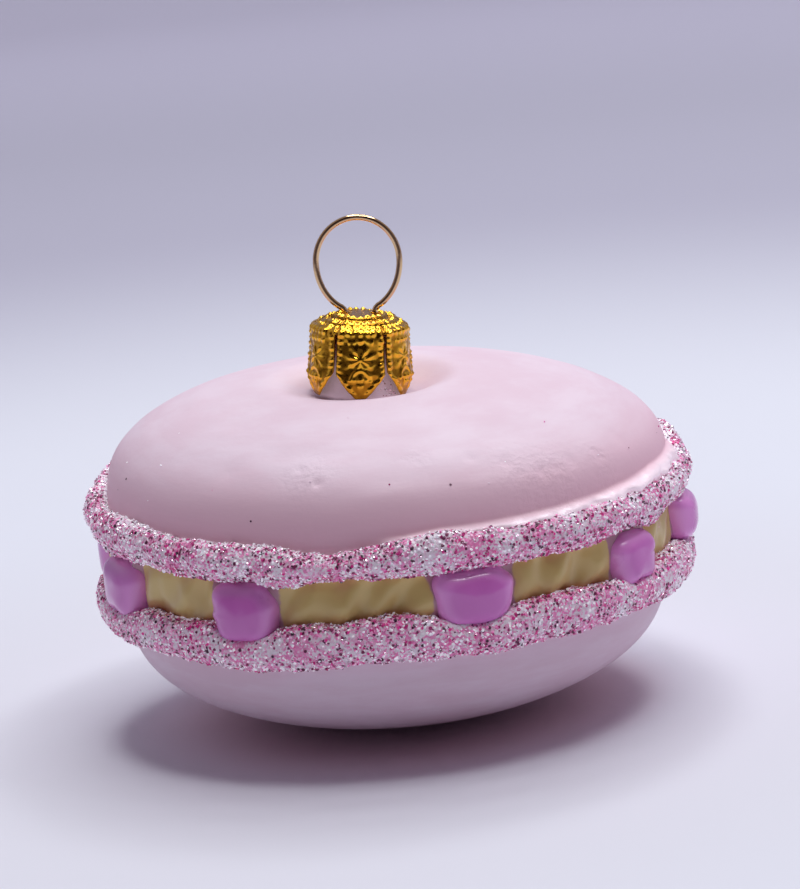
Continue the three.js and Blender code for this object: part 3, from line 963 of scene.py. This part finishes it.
def band_surface(section, lower, upper, ragged=0.0, seed=0):
    """A layer's outer face: the section's radius, and a height that runs between the layer's
    two edges by the section's share. ragged adds a fine play to both edges."""
    curve = curve_through(section, 200)
    steps = np.linspace(0, 1, len(curve))

    def surface(bearing, place):
        radius, share = (np.interp(place, steps, column) for column in curve.T)
        turns = bearing / 360
        play = [noise(turns, k, 60, seed + k) + 0.7 * noise(turns, k, 150, seed + k + 5) for k in (0, 1)]
        low = edge_height(lower, bearing) + ragged * play[0]
        high = edge_height(upper, bearing) + ragged * play[1]
        return round_z(radius, bearing, low + (high - low) * share)

    return surface


def crust_relief(look, seed, bulges):
    """Grains of half a millimetre on clumps of two and a half, both as packed bumps, and the
    bulges at the band's ends."""
    grain, clump = look.grain * METRE, look.clump * METRE

    def relief(bearing, place):
        turns = bearing / 360
        fine = grains(turns, place * 19, 480, seed)
        small = grains(turns, place * 30 + 7, 760, seed + 1)
        coarse = noise(turns, place * 4 + 2, 100, seed + 2) + 0.6 * noise(turns, place * 8, 210, seed + 3)
        bulge = sum(swell(bearing, *item) for item in bulges) * np.exp(-(((place - 0.6) / 0.24) ** 2))
        return grain * (fine + 0.45 * small - 0.7) + clump * coarse + bulge

    return relief


def crust_surface(name):
    """A crust's outer face with its ragged edges, grains, clumps and bulges."""
    look = bpy.context.scene.macaron_crust
    _, section, lower, upper, seed, bulges = CRUSTS[name]
    plain = band_surface(section, lower, upper, look.ragged * METRE, seed)
    return raised(plain, crust_relief(look, seed, bulges))


def places(grid):
    """The bearings of a grid's columns, as a row, and the places of its rows, as a column."""
    columns, rows = grid
    return bearings(columns)[None, :], np.linspace(0, 1, rows)[:, None]


def with_core(face):
    """A band's face with two rows on its core, upright below its ends, which close its section."""
    bearing = bearings(face.shape[1])
    core = round_z(BAND_CORE, bearing, np.stack([face[-1, :, 2], face[0, :, 2]]))
    return np.concatenate([face, core])


def crust(name, material):
    """One crust, with how much each place belongs to the upper one's top edge, paler partly by
    its glue and partly by a painted highlight.
    """
    node, _, _, upper, _, _ = CRUSTS[name]
    bearing, place = places(CRUST_GRID)
    grid = with_core(crust_surface(name)(bearing, place))
    crest_and_highlight = smoothstep(place, CREST_FROM - 0.14, CREST_FROM) * (upper == "dome_base")
    crest_and_highlight = np.broadcast_to(np.vstack([crest_and_highlight, [[0.0], [0.0]]]), grid.shape[:2])
    piece = band_piece(name, grid, {"crest_and_highlight": crest_and_highlight})
    settle(piece, node, material)


def fold_relief(look):
    """Soft folds that slant up to the right: a wave along the band, pushed on by the height
    and bent by slow noise, with small dents between, fading at both edges."""
    height = look.fold * METRE

    def relief(bearing, place):
        turns = bearing / 360
        drift = noise(turns, place * 1.3, 30, 41)
        wave = np.sin(2 * math.pi * (turns * 40 - place * 1.3 + 0.3 * drift))
        dents = noise(turns, place * 2.4 + 5, 64, 42) + 0.4 * noise(turns, place * 5 + 1, 140, 43)
        fade = np.sin(math.pi * np.clip(place, 0, 1)) ** 0.6
        return height * (0.7 * wave * (0.65 + 0.35 * drift) + 0.7 * dents) * fade

    return relief


def bay_place(bearing):
    """Where a bearing lies in its bay between two lumps: -1 and 1 at the lumps' sides."""
    radius = FILLING_SECTION[2][0]
    row = sorted((lump[0] % 360, math.degrees(lump[1] / 2 / radius)) for lump in LUMPS)
    place = np.full(bearing.shape, 2.0)
    for (first, half), (second, next_half) in zip(row, row[1:] + row[:1]):
        start, width = first + half, (second - first) % 360 - half - next_half
        along = (bearing - start) % 360 / width
        place = np.where(along <= 1, 2 * along - 1, place)
    return place


def filling(material):
    """The cream band. Its paint fills each bay between two lumps up to a rounded edge: painted
    falls through 0 where the powers of the places across and up the bay add up to 1."""
    look = bpy.context.scene.macaron_cream
    bearing, place = places(FILLING_GRID)
    surface = raised(band_surface(FILLING_SECTION, "filling_base", "filling_top"), fold_relief(look))
    grid = with_core(surface(bearing, place))
    share = np.vstack([place, [[1.0], [0.0]]])
    across, up = bay_place(bearing) * 0.98, (share - 0.48) / 0.48
    painted = 1 - np.abs(across) ** 3.6 - np.abs(up) ** 3.6
    attributes = {"share": np.broadcast_to(share, painted.shape), "painted": np.clip(painted, -1, 1)}
    piece = band_piece("cream_filling", grid, attributes)
    settle(piece, "filling", material)


# The lumps

def lump_points(lump, hollow, around, along):
    """A superellipsoid, narrower at its foot: its outline is a squarer superellipse than its
    depth. around turns about the outward axis, and along runs from the back to the front. The
    front face sinks by the hollow in its middle. Gives points and how near an edge is."""
    bearing, width, low, high, reach, outline = lump
    turn, tilt = np.radians(around), math.pi * along
    direction = np.stack(np.broadcast_arrays(
        np.sin(tilt) * np.cos(turn), np.cos(tilt), np.sin(tilt) * np.sin(turn)
    ), axis=-1)
    flat = (np.abs(direction[..., [0, 2]]) ** LUMP_POWER).sum(-1) ** (LUMP_DEPTH_POWER / LUMP_POWER)
    norm = (flat + np.abs(direction[..., 1]) ** LUMP_DEPTH_POWER) ** (1 / LUMP_DEPTH_POWER)
    unit = direction / norm[..., None]
    turns = np.broadcast_to(around, unit.shape[:2])
    for centre, spread, rise in outline:
        unit[..., [0, 2]] *= 1 + swell(turns, centre, spread, rise)[..., None]
    x, y, z = (unit[..., k] for k in range(3))
    inside = np.clip(1 - x**2, 0, 1) * np.clip(1 - z**2, 0, 1)
    front = smoothstep(-y, 0.1, 1.0)
    dents = 0.07 * noise(x * 0.5, z * 1.3 + bearing, 3, 61) + 0.05 * noise(x * 0.5, z * 2.6 + bearing, 6, 62)
    points = np.stack([
        x * width / 2 * (1 + LUMP_TAPER * z),
        y * LUMP_DEPTH / 2 + hollow * front * inside**1.5 - dents,
        z * (high - low) / 2,
    ], axis=-1)
    points += [0, LUMP_DEPTH / 2 - reach, (low + high) / 2]
    placed = points @ np.array(Matrix.Rotation(math.radians(bearing), 3, "Z")).T
    return placed, 1 - front * np.clip(1.7 * inside, 0, 1)


def lumps(material):
    """All the lumps, each as a piece of its own."""
    look = bpy.context.scene.macaron_lumps
    columns, rows = LUMP_GRID
    around = np.linspace(0, 360, columns, endpoint=False)[None, :]
    along = np.linspace(0.02, 0.985, rows)[:, None]
    for number, lump in enumerate(LUMPS, 1):
        points, rim = lump_points(lump, look.hollow * METRE, around, along)
        name = f"lump_{number:02d}"
        # The rim share is where the enamel gets its painted highlight, and the rest of the face its painted
        # shade.
        piece = closed_piece(f"enamel_{name}", points, {"rim": rim})
        settle(piece, name, material)


def clear_of_lumps(points, grow=0.1):
    """Which points lie outside every lump, with each lump grown by a margin."""
    clear = np.ones(len(points), bool)
    for bearing, width, low, high, reach, _ in LUMPS:
        local = points @ np.array(Matrix.Rotation(math.radians(bearing), 3, "Z"))
        local -= [0, LUMP_DEPTH / 2 - reach, (low + high) / 2]
        scaled = local / np.array([width / 2 + grow, LUMP_DEPTH / 2 + grow, (high - low) / 2 + grow])
        clear &= (np.abs(scaled) ** LUMP_POWER).sum(-1) > 1
    return clear


# The cap and its ring

def petal_edge(across):
    """Height of the cap's lower edge over the distance from a petal's middle, 0 to 1 at the
    middle of a slit: the tip is at 0, the sides rise to the shoulder, and the slit goes up."""
    pitch = 2 * math.pi * CAP_OUTLINE[0][0] / PETALS / 2
    tip, side = PETAL_TIP / 2 / pitch, 1 - PETAL_SLIT / 2 / pitch
    slope = np.clip((across - tip) / (side - tip), 0, 1) ** 1.15
    return PETAL_SHOULDER * slope + (PETAL_SLIT_TOP - PETAL_SHOULDER) * smoothstep(across, side, side + 0.012)


def petal_columns():
    """Places across all petals as (bearing, distance from the petal's middle): evenly spaced,
    with a few more in pairs at the sides of each slit."""
    pitch = 2 * math.pi * CAP_OUTLINE[0][0] / PETALS / 2
    side = 1 - PETAL_SLIT / 2 / pitch
    half = np.concatenate([np.linspace(0, side, 34), side + np.array([0.004, 0.008, 0.012, 0.03]), [1.0]])
    across = np.concatenate([-half[:0:-1], half[:-1]])
    bearing = (np.arange(PETALS)[:, None] + across[None, :] / 2) * 360 / PETALS
    return bearing.ravel(), np.tile(np.abs(across), PETALS)


def bead_row(along, pitch, across, radius, seed):
    """Round beads on a line, some taller than others: a bell over the distance from the
    nearest bead's middle."""
    number = np.floor(along / pitch + 0.5)
    near = along / pitch - number
    play = np.random.default_rng(seed).uniform(0.45, 1.15, 97)[number.astype(int) % 97]
    return play * np.exp(-((near * pitch) ** 2 + across**2) / radius**2)


def cap_relief(bearing, side, height, radius):
    """The stamping of a petal: beads down both borders and across, a star of eight rays over an
    arch, and grooves over the slits. side is the distance from the petal's middle, and height
    that over its tip."""
    half = math.pi * radius / PETALS
    petal = np.round(bearing / 60)
    border = half - PETAL_SLIT / 2 - BORDER_INSET
    narrowing = np.clip((PETAL_SHOULDER - height) / PETAL_SHOULDER, 0, 1)
    border = border - narrowing * (border - BORDER_TIP)
    body = smoothstep(height, 0.5, 0.9) * (1 - smoothstep(height, 8.3, 8.7))
    wander = 0.1 * noise(bearing / 360, height * 0.9, 36, 55)
    out = body * bead_row(height + petal * 8, BEAD_PITCH, np.abs(side) - border + wander, BEAD_RADIUS, 71)
    for row_height, reach in PETAL_ROWS:
        across = height - row_height + wander
        row = bead_row(side + wander + petal * 8, BEAD_PITCH * 1.1, across, BEAD_RADIUS, 72)
        out = np.maximum(out, (np.abs(side) < reach) * row)
    from_star = np.hypot(side, height - STAR_HEIGHT)
    turn = np.arctan2(side, height - STAR_HEIGHT) + 0.3
    ray = np.abs(np.cos(4 * turn)) ** 1.6 * (0.75 + 0.25 * np.cos(3 * turn + petal))
    star = np.exp(-((from_star / STAR_RADIUS) ** 4)) * (0.15 + 0.95 * ray)
    star = star * smoothstep(from_star, 0.1, 0.5)
    out = np.maximum(out, star + np.exp(-((from_star / STAR_CORE) ** 2)))
    from_arch = np.hypot(side, (height - ARCH_HEIGHT) * 0.8) - ARCH_RADIUS
    arch = np.exp(-((from_arch / STAMP_LINE) ** 2)) * (height > ARCH_HEIGHT + 0.1)
    out = np.maximum(out, 0.7 * arch)
    groove = smoothstep(height, 7.6, 8.3) * np.exp(-(((np.abs(side) - half) / STAMP_LINE) ** 2))
    return out - groove


def crown_relief(bearing, radius, height):
    """Rings of beads on the crown's shoulder and on its two steps."""
    out = np.zeros(np.broadcast(bearing, radius).shape)
    for ring_radius, ring_height in CROWN_RINGS:
        around = np.radians(bearing) * ring_radius
        pitch = 2 * math.pi * ring_radius / round(2 * math.pi * ring_radius / BEAD_PITCH / 1.15)
        across = np.hypot(radius - ring_radius, height - ring_height)
        out = np.maximum(out, bead_row(around, pitch, across, BEAD_RADIUS * 1.15, round(10 * ring_radius)))
    return out


def foil_dents(bearing, height):
    """Dents of thin foil: two sizes of smooth noise round the cap and up it."""
    turns = bearing / 360
    return noise(turns, height * 0.8 + 3, 28, 57) + 0.6 * noise(turns, height * 1.9 + 9, 66, 58)


def crown_cap(material):
    """The cap as one thin sheet: each column runs up the outline from the petals' edge to the
    middle of the crown, outside with its stamping and inside without, a wall apart."""
    look = bpy.context.scene.macaron_cap
    bearing, across = petal_columns()
    curve = curve_through(CAP_OUTLINE, 600)
    reach = np.concatenate([[0], np.cumsum(np.linalg.norm(np.diff(curve, axis=0), axis=1))])
    start = np.interp(petal_edge(across), curve[:450, 1], reach[:450])
    share = np.linspace(0, 1, CAP_ROWS)[:, None]
    place = start[None, :] + (reach[-1] * 0.985 - start[None, :]) * share
    radius, height = (np.interp(place, reach, column) for column in curve.T)
    slope = np.stack([np.interp(place, reach, np.gradient(column, reach)) for column in curve.T], axis=-1)
    out = np.stack([slope[..., 1], -slope[..., 0]], axis=-1)
    out /= np.linalg.norm(out, axis=-1, keepdims=True)
    side = math.pi * radius / PETALS * across[None, :]
    stamp = cap_relief(bearing[None, :], side, height, radius) * smoothstep(radius, 4, 5.5)
    stamp = stamp + crown_relief(bearing[None, :], radius, height)
    dents = foil_dents(bearing[None, :], height) * smoothstep(radius, 1, 3)
    x, y = (radius * turn(np.radians(bearing)) for turn in (np.sin, np.cos))
    holes = np.hypot(np.abs(x) - RING_LEG, y)
    hole = (1 - smoothstep(holes, 0.5, 0.8)) * (height > 9)
    lift = look.bead * METRE * (stamp + 0.4 * dents) * (1 - hole) - 0.5 * hole
    outer = round_z(radius + out[..., 0] * lift, bearing, height + out[..., 1] * lift)
    inner = round_z(radius - out[..., 0] * CAP_WALL, bearing, height - out[..., 1] * CAP_WALL)
    grid = neck_place(np.concatenate([inner[::-6], outer]))
    # How far the stamping stands out, by which its recesses get their painted shade.
    level = np.concatenate([np.zeros_like(stamp[::-6]), np.clip(stamp, 0, 1) * (1 - hole)])
    piece = closed_piece("crown_cap", grid, {"height": level})
    settle(piece, "cap", material)


def ring_path():
    """The wire's centre line: an ellipse, higher than it is wide at its foot, whose lower end
    closes in to two straight legs."""
    end = math.pi - math.asin((RING_LEG + RING_LEG_BEND) / RING_HALF_WIDTH)
    angle = np.linspace(0, end, 40)
    drop = np.where(angle < math.pi / 2, RING_RISE, RING_DROP)
    arc = np.stack([RING_HALF_WIDTH * np.sin(angle), RING_CENTRE + drop * np.cos(angle)], axis=-1)
    side = np.vstack([arc, [(RING_LEG, 0), (RING_LEG, RING_LEG_END)]])
    whole = np.vstack([side[:0:-1] * [-1, 1], side])
    return curve_through(whole, RING_GRID[1])


def hanger_ring(material):
    """A round wire carried along the ring's path, in the plane of its frame."""
    look = bpy.context.scene.macaron_ring
    path = ring_path()
    along = np.gradient(path, axis=0)
    along /= np.linalg.norm(along, axis=1, keepdims=True)
    angle = np.linspace(0, 2 * math.pi, RING_GRID[0], endpoint=False)[None, :]
    half = look.wire * METRE / 2
    flat = -half * np.cos(angle)
    x = path[:, :1] - along[:, 1:] * flat
    z = path[:, 1:] + along[:, :1] * flat
    y = np.broadcast_to(half * np.sin(angle), x.shape)
    grid = neck_place(np.stack([x, y, z], axis=-1), RING_LEAN, RING_FOOT)
    piece = closed_piece("hanger_wire", grid)
    settle(piece, "hanger_ring", material)


# Glitter flakes

def flake_shape():
    """A flat six-sided flake, closed: a ring of six corners between two points just off its
    middle, above and below."""
    angle = np.radians(60 * np.arange(6))
    ring = np.stack([np.cos(angle), np.sin(angle), np.zeros(6)], axis=-1)
    points = np.vstack([ring, [0, 0, 0.14], [0, 0, -0.14]])
    faces = np.vstack([fan(6, np.arange(6)), fan(7, np.arange(6)[::-1])])
    return points, faces


def scatter(name, places, outward, sizes, tint, rng, material, tilt):
    """Flakes at the given places, each square to its normal but for a random tilt, as one
    mesh: every flake is the one shape turned by its own three axes."""
    shape, faces = flake_shape()
    count = len(places)
    lean = outward + tilt * rng.normal(size=(count, 3))
    up = lean / np.linalg.norm(lean, axis=1, keepdims=True)
    side = np.cross(up, rng.normal(size=(count, 3)))
    side /= np.linalg.norm(side, axis=1, keepdims=True)
    axes = np.stack([side, np.cross(up, side), up], axis=1)
    points = places[:, None, :] + (sizes[:, None, None] / 2) * np.einsum("pk,nki->npi", shape, axes)
    every = (faces[None, :, :] + 8 * np.arange(count)[:, None, None]).reshape(-1, 3)
    piece = make_piece(name, points.reshape(-1, 3), [every], {"tint": np.repeat(tint, 8)}, smooth=False)
    settle(piece, None, material)


def crust_places(count, rng, patchy):
    """Random places on both crusts, clear of the lumps, as points and normals. patchy pulls
    them into, or if negative out of, slow patches."""
    found_points, found_normals = [], []
    for name in CRUSTS:
        surface = crust_surface(name)
        bearing = rng.uniform(-180, 180, count * 2)
        # Flakes pulled into patches stop below the top edge, which keeps its paler tone and painted highlight
        # clear.
        place = rng.uniform(0.06, 0.95 if patchy <= 0 else CREST_FROM, count * 2)
        patch = noise(bearing / 360, place * 3, 70, 91)
        kept = rng.random(count * 2) < 0.5 * (1 + patchy * patch)
        bearing, place = bearing[kept], place[kept]
        points = surface(bearing, place)
        clear = clear_of_lumps(points)
        found_points.append(points[clear][: count // 2])
        found_normals.append(normals(surface, bearing, place)[clear][: count // 2])
    return np.vstack(found_points), np.vstack(found_normals)


# Kinds of flake as (first tone, last tone, metallic, roughness, painted light, patchiness, size, tilt).
FLAKES = {
    "white": ((255, 252, 255), (236, 232, 246), 0.0, 0.25, 0.2, -0.5, 1.1, 0.45),
    "pink": ((255, 198, 232), (248, 126, 196), 0.0, 0.25, 0.08, 0.8, 1.1, 0.4),
    "magenta": ((246, 60, 160), (150, 14, 96), 0.0, 0.3, 0.05, 1.0, 1.35, 0.2),
    "plum": ((142, 10, 88), (46, 6, 44), 0.0, 0.45, 0.02, 0.15, 1.38, 0.12),
    "spark": ((255, 250, 253), (255, 214, 236), 1.0, 0.12, 0.0, 0.0, 1.0, 0.65),
}

# Random strays of each kind, the size of a stray to that of other flakes, and the neck's sparks.
STRAYS = 2
STRAY_SCALE = 0.65
NECK_SPARKS = 26


def stray_places(kind, rng):
    """Single flakes away from the crusts: at known places on the dome, at random ones low on
    it, on the filling and, if they are sparks, in a patch on the neck. Points and normals."""
    known = np.array(DOME_STRAYS.get(kind, []), float).reshape(-1, 2)
    radius = DOME_RADIUS - 0.4 - rng.exponential(2.5, STRAYS)
    low = round_z(radius, rng.uniform(-180, 180, STRAYS), 0)[:, :2]
    x, y = np.vstack([known, low]).T
    step = 0.02
    slope_x = (dimpled_height(x + step, y) - dimpled_height(x - step, y)) / (2 * step)
    slope_y = (dimpled_height(x, y + step) - dimpled_height(x, y - step)) / (2 * step)
    points = [np.stack([x, y, dimpled_height(x, y)], axis=-1)]
    outward = [np.stack([-slope_x, -slope_y, np.ones_like(x)], axis=-1)]
    cream = band_surface(FILLING_SECTION, "filling_base", "filling_top")
    bearing, place = rng.uniform(-180, 180, 2 * STRAYS), rng.uniform(0.2, 0.85, 2 * STRAYS)
    points.append(cream(bearing, place))
    outward.append(normals(cream, bearing, place))
    if kind == "spark":
        bearing, climb = rng.normal(38, 9, NECK_SPARKS), rng.uniform(0.2, 2.2, NECK_SPARKS)
        foot = np.interp(climb, *reversed(list(zip(*NECK_FOOT))))
        points.append(neck_place(round_z(foot, bearing, climb)))
        outward.append(round_z(1.0, bearing, 0.4))
    points, outward = np.vstack(points), np.vstack(outward)
    return points, outward / np.linalg.norm(outward, axis=1, keepdims=True)


def glitter(kind):
    """All flakes of one kind, on the crusts and astray, as one piece."""
    look = bpy.context.scene.macaron_glitter
    first, second, metallic, roughness, painted_glow, patchy, scale, tilt = FLAKES[kind]
    rng = np.random.default_rng(look.seed + list(FLAKES).index(kind))
    on_crusts, strays = crust_places(getattr(look, kind), rng, patchy), stray_places(kind, rng)
    points, outward = map(np.vstack, zip(on_crusts, strays))
    count = len(points)
    sizes = look.size * METRE * scale * rng.uniform(0.7, 1.15, count)
    sizes[len(on_crusts[0]):] *= STRAY_SCALE
    points = points + outward * rng.uniform(0.02, 0.12, (count, 1))
    tones = (linear(*tone) for tone in (first, second))
    material = flake_finish(f"glitter_{kind}", *tones, metallic, roughness, painted_glow)
    scatter(f"flakes_{kind}", points, outward, sizes, rng.random(count), rng, material, tilt)


# Stage

def stage_floor():
    """A round floor whose rim curves up out of the way of every view."""
    look = bpy.context.scene.macaron_stage
    radius = np.array(STAGE_RINGS, float)[:, None]
    height = STAGE_RIM * smoothstep(radius, RIM_FROM, RIM_TO)
    grid = round_z(radius, bearings(STAGE_COLUMNS)[None, :], height)
    points = np.vstack([grid.reshape(-1, 3), [0, 0, 0]])
    face_up = quads(len(radius), STAGE_COLUMNS, False)[:, ::-1]
    faces = [face_up, fan(len(points) - 1, np.arange(STAGE_COLUMNS))]
    floor = make_piece("stage_floor", points, faces)
    floor.data.materials.append(floor_finish(look))


def soft_light(name, place, target, size, watts, tone):
    """A round area light at a place that faces a target."""
    light = bpy.data.lights.new(name, "AREA")
    light.shape, light.size, light.energy, light.color = "DISK", size / METRE, watts, tone
    lamp = bpy.data.objects.new(name, light)
    lamp.location = Vector(place) / METRE
    lamp.rotation_euler = (Vector(target) - Vector(place)).to_track_quat("-Z", "Y").to_euler()
    bpy.context.scene.collection.objects.link(lamp)


def ring_light(watts):
    """A long ring of soft round lights over the ornament, a little behind it."""
    x, y, z = LIGHT_CENTRE
    for k in range(LIGHTS):
        turn = 2 * math.pi * k / LIGHTS
        place = (x + LIGHT_REACH[0] * math.cos(turn), y + LIGHT_REACH[1] * math.sin(turn), z)
        soft_light(f"overhead_{k + 1:02d}", place, LIGHT_TARGET, LIGHT_SIZE, watts / LIGHTS, LIGHT_TONE)


# Tones of the room by the way one looks, from -Y, where the camera stands, to +Y.
ROOM_TONES = [
    (0.0, (0.012, 0.009, 0.01)), (0.14, (0.05, 0.036, 0.042)), (0.3, (0.36, 0.265, 0.31)),
    (0.5, (0.74, 0.66, 0.76)), (0.7, (0.88, 0.9, 1.0)),
]


def room_light(strength):
    """Even lavender light that gets dimmer and warmer towards the side of the camera."""
    room = Finish(bpy.data.worlds.new("room"))
    way = room.node("ShaderNodeTexCoord", output="Generated")
    depth = room.node("ShaderNodeSeparateXYZ", None, {0: way}, "Y")
    tone = room.ramp(depth * 0.5 + 0.5, ROOM_TONES)
    shader = room.node("ShaderNodeBackground", None, {"Color": tone, "Strength": strength})
    room.node("ShaderNodeOutputWorld", None, {"Surface": shader})
    bpy.context.scene.world = room.owner


def camera(lens):
    """The camera at its place, turned to its target and then rolled."""
    data = bpy.data.cameras.new("camera")
    data.lens, data.sensor_width = lens, CAMERA_SENSOR
    data.clip_start, data.clip_end = CAMERA_CLIP
    shooter = bpy.data.objects.new("camera", data)
    forward = Vector(CAMERA_TARGET) - Vector(CAMERA_PLACE)
    turned = forward.to_track_quat("-Z", "Y").to_matrix() @ Matrix.Rotation(math.radians(CAMERA_ROLL), 3, "Z")
    shooter.matrix_world = Matrix.Translation(Vector(CAMERA_PLACE) / METRE) @ turned.to_4x4()
    bpy.context.scene.collection.objects.link(shooter)
    bpy.context.scene.camera = shooter


# Operators and panel

class ORNAMENT_OT_shells(bpy.types.Operator):
    """Make the dome with its dimple and neck, and the bowl"""

    bl_idname = "ornament.shells"
    bl_label = "Painted shells"

    def execute(self, context):
        upper_shell()
        lower_shell()
        return {"FINISHED"}


class ORNAMENT_OT_crusts(bpy.types.Operator):
    """Make the two crusts with their grains"""

    bl_idname = "ornament.crusts"
    bl_label = "Glitter crusts"

    def execute(self, context):
        material = crust_finish(context.scene.macaron_crust)
        for name in CRUSTS:
            crust(name, material)
        return {"FINISHED"}


class ORNAMENT_OT_filling(bpy.types.Operator):
    """Make the folded cream filling"""

    bl_idname = "ornament.filling"
    bl_label = "Cream filling"

    def execute(self, context):
        filling(cream_finish(context.scene.macaron_cream))
        return {"FINISHED"}


class ORNAMENT_OT_lumps(bpy.types.Operator):
    """Make the row of enamelled lumps"""

    bl_idname = "ornament.lumps"
    bl_label = "Enamelled lumps"

    def execute(self, context):
        lumps(lump_finish(context.scene.macaron_lumps))
        return {"FINISHED"}


class ORNAMENT_OT_cap(bpy.types.Operator):
    """Make the stamped crown cap"""

    bl_idname = "ornament.cap"
    bl_label = "Crown cap"

    def execute(self, context):
        crown_cap(stamped_gold_finish(context.scene.macaron_cap))
        return {"FINISHED"}


class ORNAMENT_OT_ring(bpy.types.Operator):
    """Make the wire ring"""

    bl_idname = "ornament.ring"
    bl_label = "Hanger ring"

    def execute(self, context):
        hanger_ring(wire_finish(context.scene.macaron_ring))
        return {"FINISHED"}


class ORNAMENT_OT_glitter(bpy.types.Operator):
    """Scatter the glitter flakes on the crusts"""

    bl_idname = "ornament.glitter"
    bl_label = "Glitter flakes"

    def execute(self, context):
        for kind in FLAKES:
            glitter(kind)
        return {"FINISHED"}


class ORNAMENT_OT_stage(bpy.types.Operator):
    """Set up the floor, the lights and the camera"""

    bl_idname = "ornament.stage"
    bl_label = "Stage"

    def execute(self, context):
        look = context.scene.macaron_stage
        context.scene.view_settings.view_transform = "Standard"
        stage_floor()
        room_light(look.world)
        ring_light(look.top)
        camera(look.lens)
        return {"FINISHED"}


class ORNAMENT_PT_panel(bpy.types.Panel):
    """The ornament's operators, with their settings"""

    bl_label = "Glass macaron"
    bl_idname = "ORNAMENT_PT_panel"
    bl_space_type = "VIEW_3D"
    bl_region_type = "UI"
    bl_category = "Macaron"

    def draw(self, context):
        for operator in OPERATORS:
            self.layout.operator(operator.bl_idname)
        for name in SETTINGS:
            box = self.layout.box()
            look = getattr(context.scene, name)
            for key in look.bl_rna.properties.keys():
                if key not in ("rna_type", "name"):
                    box.prop(look, key)


SETTINGS = {
    "macaron_shell": ShellSettings,
    "macaron_crust": CrustSettings,
    "macaron_glitter": GlitterSettings,
    "macaron_cream": CreamSettings,
    "macaron_lumps": LumpSettings,
    "macaron_cap": CapSettings,
    "macaron_ring": RingSettings,
    "macaron_stage": StageSettings,
}
OPERATORS = [
    ORNAMENT_OT_shells,
    ORNAMENT_OT_crusts,
    ORNAMENT_OT_filling,
    ORNAMENT_OT_lumps,
    ORNAMENT_OT_cap,
    ORNAMENT_OT_ring,
    ORNAMENT_OT_glitter,
    ORNAMENT_OT_stage,
]


def register():
    for cls in [*SETTINGS.values(), *OPERATORS, ORNAMENT_PT_panel]:
        bpy.utils.register_class(cls)
    for name, cls in SETTINGS.items():
        setattr(bpy.types.Scene, name, PointerProperty(type=cls))


def unregister():
    for name in SETTINGS:
        delattr(bpy.types.Scene, name)
    for cls in reversed([*SETTINGS.values(), *OPERATORS, ORNAMENT_PT_panel]):
        bpy.utils.unregister_class(cls)


def main():
    register()
    for operator in OPERATORS:
        group, name = operator.bl_idname.split(".")
        getattr(getattr(bpy.ops, group), name)()


if __name__ == "__main__":
    main()
